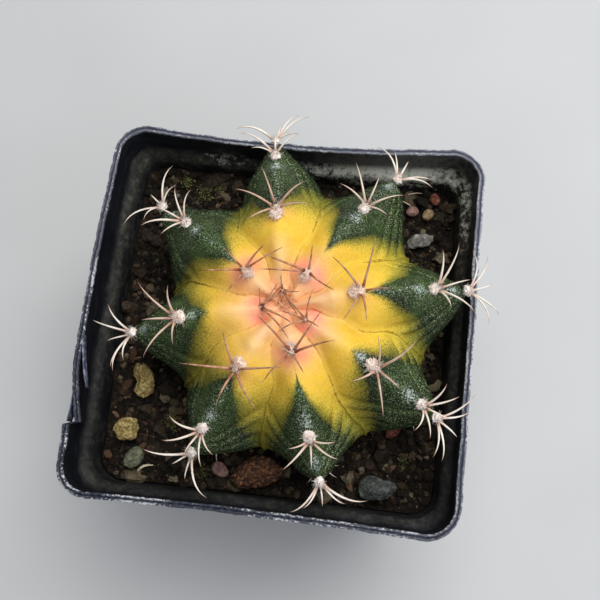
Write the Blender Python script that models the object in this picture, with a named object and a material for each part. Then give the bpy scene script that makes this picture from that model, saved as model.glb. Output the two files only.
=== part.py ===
"""A chin cactus in a square nursery pot of gritty soil.

The frame is metres with +Z up. The origin is the middle of the pot's underside, the pot's walls face
+X, -X, +Y and -Y, and the pot stands on the plane z = 0.
"""

import math

import bmesh
import bpy
from mathutils import Matrix, Vector, noise

MM = 0.001
GAP = 0.3 * MM  # left between pieces that touch

# Pot: the walls lean out from the floor to a ledge, and a deeper collar stands on the ledge.
POT_HEIGHT = 64 * MM
RIM_HALF_WIDTH = 35 * MM
COLLAR_DEPTH = 8 * MM
COLLAR_LEAN = 0.3 * MM
LEDGE_WIDTH = 1.7 * MM
WALL = 1.1 * MM
WALL_TAPER = 0.1  # outward lean of each lower wall, mm for each mm of height
FLOOR = 1.4 * MM
CORNER_RADIUS = 6 * MM
CORNER_STEPS = 6
EDGE_STEPS = 4
# How far the middle of each side of the soft rim has moved outward: +Y, -X, -Y, +X side.
RIM_BOWS = (-1.5 * MM, 0.5 * MM, -0.6 * MM, 0.0)
BOW_FADE = 4  # power of the height by which the bow dies away towards the stiff floor
WALL_LEVELS = (20 * MM, 38 * MM, 49 * MM)
DRAIN_HOLE_RADIUS = 3 * MM
DRAIN_HOLE_OFFSET = 15 * MM
DRAIN_HOLE_SIDES = 12

# Soil: slightly higher at the back left than at the front right, with low crumbs.
SOIL_LEVEL = 51.6 * MM
SOIL_SLOPE = (-0.03, 0.03)
SOIL_ROUGHNESS = 0.7 * MM
SOIL_CRUMB = 7 * MM
SOIL_RING_SHARES = (0.22, 0.48, 0.74)
MOUND_RADIUS = 21.6 * MM
MOUND_FADE = 8 * MM
SOCKET_GAP = 0.7 * MM  # round the taproot, more than GAP because both walls are faceted

# Cactus body: eight ribs about an axis a little to the right of the pot's middle.
PLANT_AXIS = (2.9 * MM, -0.8 * MM)
MEAN_REACH = 30.5 * MM
# Each rib: name, compass bearing of its crest in degrees from +X towards +Y, how far it reaches from the
# axis, and how much higher or lower than the mean its tip is held.
RIBS = (
    ("north", 101, 33.4 * MM, 1.4 * MM),
    ("northeast", 59, 31.9 * MM, 1.0 * MM),
    ("east", 15, 31.4 * MM, 0.6 * MM),
    ("southeast", -28, 30.3 * MM, -0.4 * MM),
    ("south", -73, 28.1 * MM, -1.2 * MM),
    ("southwest", -120, 28.4 * MM, -1.4 * MM),
    ("west", -170, 28.4 * MM, -1.4 * MM),
    ("northwest", 144, 31.9 * MM, 0.0),
)
# Profiles from the crown to the root, as (share of the reach, height): along a crest and along a furrow.
CREST = (
    (0.0, 76.0), (0.11, 77.6), (0.25, 78.6), (0.42, 78.1), (0.58, 76.1), (0.73, 73.3), (0.87, 70.4),
    (0.965, 67.9), (1.0, 64.8), (0.98, 61.0), (0.90, 57.4), (0.78, 54.2), (0.65, 51.2), (0.50, 46.0),
    (0.30, 39.0), (0.03, 33.0),
)
FURROW = (
    (0.0, 76.0), (0.10, 75.7), (0.22, 75.4), (0.36, 74.0), (0.49, 71.6), (0.60, 68.4), (0.69, 65.0),
    (0.75, 61.6), (0.775, 58.6), (0.77, 56.2), (0.73, 54.2), (0.69, 52.6), (0.63, 51.0), (0.50, 46.0),
    (0.30, 39.0), (0.03, 33.0),
)
RIB_COLUMNS = 8
BODY_FIRST_STATION = 0.12
BODY_ROWS = 26
CREST_ROUNDING = 0.1  # share of the half rib over which the crest is rounded
FLANK_POWER = 1.3  # makes the flanks of a rib nearly flat
TIP_STATION = 8  # profile station at the widest point
SOIL_STATION = 12  # profile station at the soil line, below which the body is the same all round
SOCKET_RIM_STATION = 11.7
SOCKET_STATIONS = (12.35, 13, 13.6, 14.3, 15)  # down the taproot to its end
BURIED_FADE = 3  # stations above the soil line over which the ribs' differences die away
RING_SHARE = 0.985  # where on the crest the outermost areole that faces up sits

# Areoles: on each rib, its distance from the axis in mm and its spines as (bearing, length in mm). The
# bearing is from straight down the rib, in degrees, positive anticlockwise seen from above.
RING = None  # in place of a distance: the areole at the rib's tip
AREOLES = (
    (
        (2.6, ((0, 2.5), (120, 3), (-110, 3))),
        (16, ((-110, 6), (-60, 6), (15, 6.5), (70, 7), (125, 6))),
        (28.6, ((-60, 5), (-5, 3), (55, 6.5), (85, 4))),
        (RING, ((-95, 4.5), (-60, 7), (-40, 6), (-20, 3), (60, 6), (70, 7))),
    ),
    (
        (6.3, ((-100, 6), (15, 4), (110, 7.5), (130, 8))),
        (21.8, ((-90, 4.5), (-45, 6), (10, 5), (55, 7), (95, 5.5))),
        (RING, ((-75, 6), (-55, 5.5), (10, 4), (45, 5.5), (70, 6.5))),
    ),
    (
        (12.2, ((-125, 6.5), (-90, 5.5), (-5, 4.5), (65, 8.5), (125, 7))),
        (25, ((-70, 4), (-50, 7), (5, 5), (55, 7.5), (80, 6))),
        (RING, ((-75, 6.5), (-50, 6), (5, 4), (50, 6.5), (75, 6.5))),
    ),
    (
        (4.3, ((-120, 5), (0, 3), (110, 5))),
        (17.4, ((-115, 5.5), (-55, 7.5), (-10, 4.5), (65, 7.5), (120, 5.5))),
        (26.8, ((-75, 4.5), (-45, 5), (5, 4), (50, 5.5), (75, 5))),
        (RING, ((-65, 6), (-50, 6.5), (-5, 4), (45, 5), (65, 7))),
    ),
    (
        (7.6, ((-150, 8), (-55, 7), (20, 4), (90, 7.5), (125, 8))),
        (21, ((-85, 3.5), (-55, 6), (-5, 4), (45, 5), (80, 4))),
        (RING, ((-60, 6.5), (-40, 4.5), (0, 3.5), (40, 5), (60, 8))),
    ),
    (
        (12.2, ((-130, 6.5), (-60, 8.5), (10, 6), (65, 8), (125, 8.5))),
        (23.6, ((-80, 5.5), (-35, 6), (0, 4), (40, 5.5), (70, 4.5))),
        (RING, ((-60, 8), (-30, 3.5), (20, 4), (60, 7.5))),
    ),
    (
        (3.6, ((125, 8), (145, 6.5), (-90, 3))),
        (17.8, ((-85, 5), (-45, 8), (0, 5), (55, 8), (95, 5))),
        (RING, ((-50, 6.5), (-25, 8), (10, 4.5), (55, 6.5), (65, 7), (80, 5))),
    ),
    (
        (8.2, ((-120, 7.5), (-90, 5), (0, 4.5), (60, 7), (110, 5.5))),
        (23.8, ((-60, 5), (-30, 5.5), (15, 5), (55, 7), (90, 4.5))),
        (RING, ((-90, 4.5), (-60, 7.5), (-5, 3.5), (75, 7.5), (100, 5))),
    ),
)
HALVINGS = 30  # steps of the search for an areole's place along its crest
CREST_STEP = 0.05  # stations either side over which a crest's slope is measured
UNDER_STATION = 10.7  # the older areole under each rib's tip
UNDER_SPINES = ((-70, 3.5), (-40, 4), (0, 2.5), (40, 4), (70, 3.5))  # short, because the tips wear off
PAD_RADIUS = 1.1 * MM
YOUNG_PAD_RADIUS = 0.7 * MM
YOUNG_DISTANCE = 5 * MM
PAD_THICKNESS = 0.5  # half thickness as a share of the radius
SPINE_LIFT = 27  # degrees by which a spine stands off the slope of the crest
SLOPE_FOLLOWED = 0.6  # share of the crest's slope that a spine follows
SLOPE_EASING = 0.2  # keeps the pitch from jumping where the crest is upright
SPINE_BEND = 0.14  # sag of the middle of a spine, as a share of its length
# Stations of a spine, as (share of the length, share of the base's width).
SPINE_STATIONS = ((0.12, 0.5), (0.55, 0.36), (1.0, 0.1))
TUFT_SPINES = 7
TUFT_SPINE_LENGTH = 2.4 * MM
TUFT_SPREAD = 34

# Stones: name, place, half sizes (long, wide, high), turn in degrees, colour.
STONES = (
    ("pumice_stone_west", (-25.1, -12.2), (3.3, 2.1, 1.7), 100, (0.62, 0.50, 0.27)),
    ("pumice_stone_southwest", (-26.5, -21.6), (2.4, 2.1, 1.6), 20, (0.60, 0.49, 0.29)),
    ("grey_green_stone", (-24.6, -27.0), (2.1, 1.6, 1.2), 60, (0.20, 0.22, 0.17)),
    ("lava_stone", (-0.9, -26.8), (4.6, 2.7, 2.0), 12, (0.13, 0.07, 0.05)),
    ("pink_grey_stone", (-8.4, -27.2), (1.8, 1.3, 1.0), 150, (0.32, 0.23, 0.21)),
    ("blue_grey_stone", (20.6, -27.2), (3.5, 2.3, 1.6), 5, (0.15, 0.18, 0.20)),
    ("orange_brown_stone", (22.8, -16.6), (1.6, 1.3, 1.0), 40, (0.30, 0.13, 0.06)),
    ("light_grey_stone", (24.6, 20.3), (2.3, 1.3, 1.0), 25, (0.42, 0.41, 0.40)),
    ("tan_stone", (25.9, 25.8), (1.3, 1.1, 0.9), 70, (0.40, 0.29, 0.19)),
    ("red_stone", (27.0, 29.0), (1.3, 1.1, 0.9), 120, (0.27, 0.08, 0.05)),
    ("pink_stone", (22.8, 26.2), (1.3, 1.1, 0.9), 10, (0.36, 0.22, 0.19)),
)
STONE_ROUGHNESS = 0.16
STONE_LUMPS = 1.4  # lumps across a stone's half size


def material(name, colour, roughness):
    """A plain finish of one colour."""
    made = bpy.data.materials.new(name)
    made.use_nodes = True
    shader = made.node_tree.nodes["Principled BSDF"]
    shader.inputs["Base Color"].default_value = (*colour, 1)
    shader.inputs["Roughness"].default_value = roughness
    made.diffuse_color = (*colour, 1)
    return made


def finish_object(name, bm, surface):
    """Turns a bmesh into a smooth-shaded object of the scene."""
    bmesh.ops.recalc_face_normals(bm, faces=bm.faces)
    mesh = bpy.data.meshes.new(name)
    bm.to_mesh(mesh)
    bm.free()
    mesh.materials.append(surface)
    mesh.shade_smooth()
    mesh.set_sharp_from_angle(angle=math.radians(40))
    made = bpy.data.objects.new(name, mesh)
    bpy.context.scene.collection.objects.link(made)
    return made


def loft(bm, rings):
    """Skins a stack of rings with the same number of points, and caps its two ends."""
    loops = [[bm.verts.new(point) for point in ring] for ring in rings]
    for lower, upper in zip(loops, loops[1:]):
        for index in range(len(lower)):
            after = (index + 1) % len(lower)
            bm.faces.new((lower[index], lower[after], upper[after], upper[index]))
    bm.faces.new(loops[0][::-1])
    bm.faces.new(loops[-1])


def smooth_step(share):
    return share * share * (3 - 2 * share)


# Pot


def side_bow(side, height):
    return RIM_BOWS[side] * (height / POT_HEIGHT) ** BOW_FADE


def square_ring(half_width, height, corner_radius=CORNER_RADIUS):
    """A rounded square at one height: the corner arcs, with each side between them bowed."""
    ring = []
    straight = half_width - corner_radius
    for side in range(4):
        start = math.radians(90 * side)
        corner = Matrix.Rotation(start, 3, "Z") @ Vector((straight, straight, height))
        for step in range(CORNER_STEPS + 1):
            angle = start + math.radians(90) * step / CORNER_STEPS
            ring.append(corner + corner_radius * Vector((math.cos(angle), math.sin(angle), 0)))
        outward = Matrix.Rotation(start, 3, "Z") @ Vector((0, 1, 0))
        onward = Matrix.Rotation(start, 3, "Z") @ Vector((-1, 0, 0))
        for step in range(1, EDGE_STEPS):
            share = step / EDGE_STEPS
            bow = side_bow(side, height) * 4 * share * (1 - share)
            ring.append(corner + onward * 2 * straight * share + outward * (corner_radius + bow))
    return ring


def wall_half_width(height):
    """Outer half width of the lower wall."""
    ledge_height = POT_HEIGHT - COLLAR_DEPTH
    return RIM_HALF_WIDTH - COLLAR_LEAN - LEDGE_WIDTH - WALL_TAPER * (ledge_height - height)


def make_pot():
    ledge_height = POT_HEIGHT - COLLAR_DEPTH
    collar_half = RIM_HALF_WIDTH - COLLAR_LEAN
    ledge_half = wall_half_width(ledge_height)
    rings = [square_ring(wall_half_width(height), height) for height in (0, *WALL_LEVELS)]
    rings.append(square_ring(ledge_half, ledge_height - WALL))
    rings.append(square_ring(collar_half, ledge_height))
    rings.append(square_ring(RIM_HALF_WIDTH, POT_HEIGHT))
    rings.append(square_ring(RIM_HALF_WIDTH - WALL, POT_HEIGHT, CORNER_RADIUS - WALL))
    rings.append(square_ring(collar_half - WALL, ledge_height + WALL, CORNER_RADIUS - WALL))
    rings.append(square_ring(ledge_half - WALL, ledge_height, CORNER_RADIUS - WALL))
    for height in reversed((FLOOR, *WALL_LEVELS)):
        rings.append(square_ring(wall_half_width(height) - WALL, height, CORNER_RADIUS - WALL))
    bm = bmesh.new()
    loft(bm, rings)
    plastic = material("black_plastic", (0.012, 0.013, 0.018), 0.5)
    pot = finish_object("pot", bm, plastic)
    cut_drain_holes(pot)


def cut_drain_holes(pot):
    """Four holes near the floor's corners and four at the middles of its sides."""
    bm = bmesh.new()
    for hole in range(8):
        stretch = math.sqrt(2) if hole % 2 else 1
        turn = Matrix.Rotation(math.radians(45 * hole), 4, "Z")
        place = turn @ Matrix.Translation((DRAIN_HOLE_OFFSET * stretch, 0, FLOOR / 2))
        bmesh.ops.create_cone(
            bm,
            cap_ends=True,
            segments=DRAIN_HOLE_SIDES,
            radius1=DRAIN_HOLE_RADIUS,
            radius2=DRAIN_HOLE_RADIUS,
            depth=4 * FLOOR,
            matrix=place,
        )
    cutter = finish_object("drain_hole_cutter", bm, pot.data.materials[0])
    cutter.hide_render = True
    cutter.display_type = "WIRE"
    cut = pot.modifiers.new("drain_holes", "BOOLEAN")
    cut.operation = "DIFFERENCE"
    cut.object = cutter


# Cactus body


def along(profile, station):
    """A smooth curve through a profile's points: the share of the reach and the height in metres."""
    last = len(profile) - 1
    low = min(int(station), last - 1)
    share = station - low
    points = [Vector(profile[min(max(low + step, 0), last)]) for step in (-1, 0, 1, 2)]
    before, start, end, after = points
    if low == 0:
        before = Vector((-end.x, end.y))
    rise = (end - before) / 2
    fall = (after - start) / 2
    square = share * share
    cube = square * share
    point = (
        start * (2 * cube - 3 * square + 1)
        + rise * (cube - 2 * square + share)
        + end * (3 * square - 2 * cube)
        + fall * (cube - square)
    )
    return point.x, point.y * MM


def rib_at(azimuth):
    """Reach and tip lift at an azimuth, and how far it is from a crest: 0 on it, 1 in a furrow."""
    degrees = math.degrees(azimuth)
    for index, (_, bearing, reach, lift) in enumerate(RIBS):
        _, next_bearing, next_reach, next_lift = RIBS[(index + 1) % len(RIBS)]
        step = (bearing - next_bearing) % 360
        offset = (bearing - degrees) % 360
        if offset <= step:
            share = offset / step
            mix = smooth_step(share)
            away = 1 - abs(2 * share - 1)
            return reach + (next_reach - reach) * mix, lift + (next_lift - lift) * mix, away
    raise ValueError("the ribs go all the way round")


def flank(away):
    """Height of the rib's flank between its furrow, 0, and its rounded crest, 1."""
    rounded = math.sqrt(away * away + CREST_ROUNDING**2) - CREST_ROUNDING
    rounded /= math.sqrt(1 + CREST_ROUNDING**2) - CREST_ROUNDING
    return (1 - rounded) ** FLANK_POWER


def body_point(azimuth, station):
    reach, lift, away = rib_at(azimuth)
    crest_share, crest_height = along(CREST, station)
    furrow_share, furrow_height = along(FURROW, station)
    below = (station - SOIL_STATION + BURIED_FADE) / BURIED_FADE
    buried = smooth_step(min(max(below, 0), 1))
    reach += (MEAN_REACH - reach) * buried
    mix = flank(away)
    distance = reach * (furrow_share + (crest_share - furrow_share) * mix)
    height = furrow_height + (crest_height - furrow_height) * mix
    height += lift * (1 - buried) * min(distance / MEAN_REACH, 1)
    return Vector((
        PLANT_AXIS[0] + distance * math.cos(azimuth),
        PLANT_AXIS[1] + distance * math.sin(azimuth),
        height,
    ))


def rib_azimuths():
    """Azimuths of the body's columns, the same number on each flank, anticlockwise."""
    azimuths = []
    for index, (_, bearing, _, _) in enumerate(RIBS):
        step = (bearing - RIBS[(index + 1) % len(RIBS)][1]) % 360
        for column in range(RIB_COLUMNS):
            azimuths.append(math.radians(bearing - step * column / RIB_COLUMNS))
    return azimuths[::-1]


def make_body():
    last = len(CREST) - 1
    azimuths = rib_azimuths()
    rings = []
    for row in range(BODY_ROWS + 1):
        station = BODY_FIRST_STATION + (last - BODY_FIRST_STATION) * row / BODY_ROWS
        rings.append([body_point(azimuth, station) for azimuth in azimuths])
    bm = bmesh.new()
    loft(bm, rings)
    finish_object("cactus_body", bm, material("cactus_skin", (0.10, 0.18, 0.05), 0.55))


# Soil and stones


def soil_height(x, y):
    """The soil is level against the plant, and slopes and crumbles further out."""
    from_plant = math.hypot(x - PLANT_AXIS[0], y - PLANT_AXIS[1]) - MOUND_RADIUS
    outer = smooth_step(min(max(from_plant / MOUND_FADE, 0), 1))
    crumbs = noise.noise(Vector((x, y, 0)) / SOIL_CRUMB) * SOIL_ROUGHNESS
    return SOIL_LEVEL + (SOIL_SLOPE[0] * x + SOIL_SLOPE[1] * y + crumbs) * outer


def make_soil():
    """The mix fills the pot to below its rim, and the taproot stands in a socket in it."""
    corner = CORNER_RADIUS - WALL - GAP
    rings = []
    for height in (FLOOR + GAP, *WALL_LEVELS):
        rings.append(square_ring(wall_half_width(height) - WALL - GAP, height, corner))
    edge = square_ring(wall_half_width(SOIL_LEVEL - MM) - WALL - GAP, SOIL_LEVEL, corner)
    azimuths = [math.atan2(p.y - PLANT_AXIS[1], p.x - PLANT_AXIS[0]) for p in edge]
    rim = socket_ring(azimuths, SOCKET_RIM_STATION)
    for share in (0, *SOIL_RING_SHARES, 1):
        ring = [outer.lerp(inner, share) for outer, inner in zip(edge, rim)]
        for point in ring:
            point.z = soil_height(point.x, point.y)
        rings.append(ring)
    for station in SOCKET_STATIONS:
        rings.append(socket_ring(azimuths, station))
    bm = bmesh.new()
    loft(bm, rings)
    finish_object("soil", bm, material("potting_soil", (0.020, 0.014, 0.010), 0.95))


def socket_ring(azimuths, station):
    """A round ring just outside the buried body."""
    share, height = along(CREST, station)
    radius = share * MEAN_REACH + SOCKET_GAP
    ring = []
    for azimuth in azimuths:
        x = PLANT_AXIS[0] + radius * math.cos(azimuth)
        y = PLANT_AXIS[1] + radius * math.sin(azimuth)
        ring.append(Vector((x, y, height - SOCKET_GAP / 2)))
    return ring


def make_stone(name, place, half_sizes, turn, colour):
    """A water-worn pebble lying on the soil."""
    x, y = (value * MM for value in place)
    bm = bmesh.new()
    bmesh.ops.create_icosphere(bm, subdivisions=2, radius=1)
    for vert in bm.verts:
        bump = noise.noise(vert.co * STONE_LUMPS + Vector((x, y, 0)) / MM)
        vert.co *= 1 + STONE_ROUGHNESS * bump
    size = Matrix.Diagonal([value * MM for value in half_sizes]).to_4x4()
    bm.transform(Matrix.Rotation(math.radians(turn), 4, "Z") @ size)
    ground = max(soil_height(x + vert.co.x, y + vert.co.y) for vert in bm.verts)
    bottom = min(vert.co.z for vert in bm.verts)
    bm.transform(Matrix.Translation((x, y, ground + GAP - bottom)))
    finish_object(name, bm, material(name, colour, 0.85))


# Areoles


def crest_station(distance, azimuth):
    """The station, above the rib's tip, where the crest is this far from the plant's axis."""
    reach = rib_at(azimuth)[0]
    low, high = 0, TIP_STATION
    for _ in range(HALVINGS):
        middle = (low + high) / 2
        if along(CREST, middle)[0] * reach < distance:
            low = middle
        else:
            high = middle
    return low


def crest_frame(azimuth, station):
    """A point on a crest, the crest's outward normal there, and its direction down the rib."""
    point = body_point(azimuth, station)
    above = body_point(azimuth, station - CREST_STEP)
    below = body_point(azimuth, station + CREST_STEP)
    down = (below - above).normalized()
    side = Vector((-math.sin(azimuth), math.cos(azimuth), 0))
    return point, down.cross(side).normalized(), down


def spine_direction(azimuth, down, bearing):
    """Level bearing of a spine, pitched to follow part of the crest's slope and to stand off it."""
    slope = math.atan2(-down.z, math.hypot(down.x, down.y))
    turn = math.radians(bearing)
    fall = math.atan2(math.sin(slope) * math.cos(turn), abs(math.cos(slope)) + SLOPE_EASING)
    pitch = math.radians(SPINE_LIFT) - SLOPE_FOLLOWED * fall
    level = azimuth + turn
    return Vector((
        math.cos(level) * math.cos(pitch),
        math.sin(level) * math.cos(pitch),
        math.sin(pitch),
    ))


def grow_spine(bm, face, direction, length, normal):
    """Draws one face of the pad out into a tapered spine that curves back towards the plant."""
    root = face.calc_center_median()
    base = [vert.co - root for vert in face.verts]
    turn = face.normal.rotation_difference(direction)
    for share, width in SPINE_STATIONS:
        face = bmesh.ops.extrude_discrete_faces(bm, faces=[face])["faces"][0]
        sag = SPINE_BEND * length * (1 - (2 * share - 1) ** 2)
        centre = root + direction * length * share + normal * sag
        for vert, offset in zip(face.verts, base):
            vert.co = centre + turn @ offset * width


def make_cluster(name, point, normal, spines, radius, surface):
    """A wool cushion with its spines, all one piece; spines are pairs of direction and length."""
    bm = bmesh.new()
    bmesh.ops.create_icosphere(bm, subdivisions=1, radius=radius)
    flatten = Matrix.Diagonal((1, 1, PAD_THICKNESS)).to_4x4()
    lean = Vector((0, 0, 1)).rotation_difference(normal).to_matrix().to_4x4()
    centre = point + normal * (GAP + radius * PAD_THICKNESS)
    bm.transform(Matrix.Translation(centre) @ lean @ flatten)
    bm.normal_update()
    free = list(bm.faces)
    starts = []
    for direction, length in spines:
        face = max(free, key=lambda each: (each.calc_center_median() - centre).normalized() @ direction)
        free.remove(face)
        starts.append((face, direction, length))
    for face, direction, length in starts:
        grow_spine(bm, face, direction, length, normal)
    finish_object(name, bm, surface)


def make_areoles():
    surface = material("wool_and_spines", (0.62, 0.48, 0.42), 0.7)
    for (rib, bearing, reach, _), areoles in zip(RIBS, AREOLES):
        azimuth = math.radians(bearing)
        stations = []
        for distance, spines in areoles:
            away = RING_SHARE * reach if distance is RING else distance * MM
            stations.append((crest_station(away, azimuth), spines))
        stations.append((UNDER_STATION, UNDER_SPINES))
        for number, (station, spines) in enumerate(stations, start=1):
            point, normal, down = crest_frame(azimuth, station)
            distance = math.hypot(point.x - PLANT_AXIS[0], point.y - PLANT_AXIS[1])
            radius = YOUNG_PAD_RADIUS if distance < YOUNG_DISTANCE else PAD_RADIUS
            aimed = [
                (spine_direction(azimuth, down, turn), length * MM) for turn, length in spines
            ]
            make_cluster(f"areole_{rib}_{number}", point, normal, aimed, radius, surface)


def make_crown_tuft():
    """The newest spines, still packed upright in the crown."""
    point = Vector((*PLANT_AXIS, CREST[0][1] * MM))
    aimed = []
    for number in range(TUFT_SPINES):
        turn = 2 * math.pi * number / TUFT_SPINES
        tilt = math.radians(TUFT_SPREAD)
        aimed.append((
            Vector((math.cos(turn) * math.sin(tilt), math.sin(turn) * math.sin(tilt), math.cos(tilt))),
            TUFT_SPINE_LENGTH,
        ))
    surface = material("young_spines", (0.42, 0.26, 0.13), 0.6)
    make_cluster("crown_tuft", point, Vector((0, 0, 1)), aimed, YOUNG_PAD_RADIUS, surface)


for leftover in list(bpy.data.objects):
    bpy.data.objects.remove(leftover, do_unlink=True)
make_pot()
make_soil()
for stone in STONES:
    make_stone(*stone)
make_body()
make_areoles()
make_crown_tuft()
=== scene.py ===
"""The looks of a chin cactus in a square nursery pot of gritty soil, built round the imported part.

Everything is in metres with +Z up. The origin is the middle of the pot's underside.
"""

import math
import random

import bmesh
import bpy
from mathutils import Matrix, Vector, noise


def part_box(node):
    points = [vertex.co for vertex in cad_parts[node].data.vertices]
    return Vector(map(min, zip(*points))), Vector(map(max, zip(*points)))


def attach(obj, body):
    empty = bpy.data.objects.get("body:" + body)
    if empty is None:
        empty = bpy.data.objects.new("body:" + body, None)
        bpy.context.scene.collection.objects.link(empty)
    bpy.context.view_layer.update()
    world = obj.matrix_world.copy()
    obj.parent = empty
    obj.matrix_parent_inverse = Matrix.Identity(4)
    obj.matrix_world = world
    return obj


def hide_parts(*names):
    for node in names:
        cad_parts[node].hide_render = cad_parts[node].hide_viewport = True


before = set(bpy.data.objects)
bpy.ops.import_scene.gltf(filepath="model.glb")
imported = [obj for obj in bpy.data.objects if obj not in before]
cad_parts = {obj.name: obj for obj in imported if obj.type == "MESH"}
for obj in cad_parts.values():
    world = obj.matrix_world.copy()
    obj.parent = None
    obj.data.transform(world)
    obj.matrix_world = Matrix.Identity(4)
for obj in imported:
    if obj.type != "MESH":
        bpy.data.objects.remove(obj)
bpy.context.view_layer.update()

# Camera
# A hand's height above the plant, looking almost straight down on it and turned a little, as one looks at a
# plant on a bench.

MM = 0.001
CAMERA_PLACE = (18.4 * MM, -29.2 * MM, 202.6 * MM)
CAMERA_HEADING = 23.7  # degrees about the vertical
CAMERA_TILT = 14.5  # degrees off straight down
CAMERA_ROLL = -17.5
LENS = 48.07
NEAREST_VIEW = 5 * MM

camera = bpy.data.objects.new("camera", bpy.data.cameras.new("camera"))
camera.data.lens = LENS
camera.data.clip_start = NEAREST_VIEW
bpy.context.scene.collection.objects.link(camera)
camera.matrix_world = Matrix.Translation(CAMERA_PLACE) @ Matrix.Rotation(
    math.radians(CAMERA_HEADING), 4, "Z"
) @ Matrix.Rotation(math.radians(CAMERA_TILT), 4, "X") @ Matrix.Rotation(math.radians(CAMERA_ROLL), 4, "Z")
bpy.context.scene.camera = camera
# Each finish shows in its own colour, with no film-like softening.
bpy.context.scene.view_settings.view_transform = "Standard"


# Lights and floor
# Soft studio light: a large panel high at the back right, a weak one at the left, and pale surroundings. The
# floor is plain matt card.


def linear(hex_colour):
    """An sRGB hex colour as linear red, green, blue and alpha."""
    parts = [int(hex_colour[start : start + 2], 16) / 255 for start in (1, 3, 5)]
    return (*(p / 12.92 if p <= 0.04045 else ((p + 0.055) / 1.055) ** 2.4 for p in parts), 1)


def feed(tree, node, inputs):
    """Links outputs to a node's inputs or sets their constants, hex colours too. None leaves one alone."""
    for socket, value in inputs:
        if isinstance(value, bpy.types.NodeSocket):
            tree.links.new(value, node.inputs[socket])
        elif value is not None:
            node.inputs[socket].default_value = linear(value) if isinstance(value, str) else value


def add_node(tree, kind, *values, output=None, stops=(), **settings):
    """Adds a node: its settings, the inputs it then shows, in order, and a ramp's stops. Gives an output."""
    node = tree.nodes.new("ShaderNode" + kind)
    for name, value in settings.items():
        setattr(node, name, value)
    shown = [index for index, socket in enumerate(node.inputs) if socket.enabled]
    feed(tree, node, zip(shown, values))
    for index, (place, colour) in enumerate(stops):
        stop = node.color_ramp.elements[index] if index < 2 else node.color_ramp.elements.new(place)
        stop.position = place
        stop.color = linear(colour)
    return node.outputs[output] if output else next(socket for socket in node.outputs if socket.enabled)


def wire(tree, shader, **inputs):
    """Feeds a shader's inputs, named with _ for a space."""
    feed(tree, shader, [(name.replace("_", " "), value) for name, value in inputs.items()])


def new_finish(name, roughness, **constants):
    """A new material, its tree and its shader, with the shader's constant values set."""
    finish = bpy.data.materials.new(name)
    finish.use_nodes = True
    shader = finish.node_tree.nodes["Principled BSDF"]
    wire(finish.node_tree, shader, Roughness=roughness, **constants)
    return finish, finish.node_tree, shader


def finish_mesh(name, bm, finishes, sharp=180):
    """Turns a bmesh into a smooth object at the origin."""
    mesh = bpy.data.meshes.new(name)
    bm.to_mesh(mesh)
    bm.free()
    for finish in finishes:
        mesh.materials.append(finish)
    mesh.shade_smooth()
    if sharp < 180:
        mesh.set_sharp_from_angle(angle=math.radians(sharp))
    made = bpy.data.objects.new(name, mesh)
    bpy.context.scene.collection.objects.link(made)
    return made


def add_panel(name, place, target, size, power, colour):
    """A square light panel facing a target."""
    light = bpy.data.lights.new(name, "AREA")
    light.size = size
    light.energy = power
    light.color = linear(colour)[:3]
    panel = bpy.data.objects.new(name, light)
    bpy.context.scene.collection.objects.link(panel)
    aim = (Vector(target) - Vector(place)).to_track_quat("-Z", "Y")
    panel.matrix_world = Matrix.Translation(place) @ aim.to_matrix().to_4x4()


FLOOR_SIZE = 3.0
CARD_GRAIN = 0.9 * MM
add_panel("key_panel", (0.15, 0.20, 0.60), (0, 0, 0.06), 0.44, 3.75, "#FFFDF6")
add_panel("fill_panel", (0.42, -0.28, 0.42), (0, 0, 0.06), 0.50, 1.0, "#FAFAFF")
surroundings = bpy.data.worlds.new("pale_surroundings")
surroundings.use_nodes = True
wire(surroundings.node_tree, surroundings.node_tree.nodes["Background"], Color="#E9EAED", Strength=0.33)
bpy.context.scene.world = surroundings

bm = bmesh.new()
bmesh.ops.create_grid(bm, x_segments=8, y_segments=8, size=FLOOR_SIZE / 2)
# Matt card: slightly mottled, with a fine fibre grain.
card, tree, shader = new_finish("matt_card", 0.85)
place = add_node(tree, "TexCoord", output="Object")
mottle = add_node(tree, "TexNoise", place, 1 / (40 * MM))
tint = add_node(tree, "ValToRGB", mottle, stops=((0.3, "#C6C9CD"), (0.7, "#CACDD1")))
grain = add_node(tree, "TexNoise", place, 1 / CARD_GRAIN)
relief = add_node(tree, "Bump", None, 0.02 * MM, None, grain)
wire(tree, shader, Base_Color=tint, Normal=relief)
finish_mesh("studio_floor", bm, [card])


# Pot
# A thin-walled square nursery pot with a deep collar on a ledge, injection moulded in black polypropylene and
# much used: the soft rim has warped, is frayed all round, and has torn on the left.

POT_HEIGHT = 64 * MM
RIM_HALF_WIDTH = 35 * MM
COLLAR_DEPTH = 8 * MM
COLLAR_LEAN = 0.3 * MM
LEDGE_WIDTH = 1.7 * MM
WALL = 1.1 * MM
WALL_TAPER = 0.1  # outward lean of each lower wall, mm for each mm of height
FLOOR = 1.4 * MM
CORNER_RADIUS = 6 * MM
LEDGE_HEIGHT = POT_HEIGHT - COLLAR_DEPTH
CORNER_STEPS = 16
SIDE_STEPS = 92
RIM_BOWS = (-1.5 * MM, 0.5 * MM, -0.6 * MM, 0.0)  # outward warp of the +Y, -X, -Y and +X sides
BOW_FADE = 4
LIP_STEPS = 8
LIP_GROOVE = 0.3 * MM  # depth of the parting line along the top of the lip
FRAY_DEPTH = 2.5 * MM  # the rim's wear dies away this far down
TEAR_START = -11 * MM  # the torn part of the left side, from here to the crack
TEAR_END = -22.4 * MM
TEAR_BEND = 2.3 * MM
DRAIN_HOLE_RADIUS = 3 * MM
DRAIN_HOLE_OFFSET = 15 * MM


def smooth_step(share):
    share = min(max(share, 0), 1)
    return share * share * (3 - 2 * share)


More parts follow.
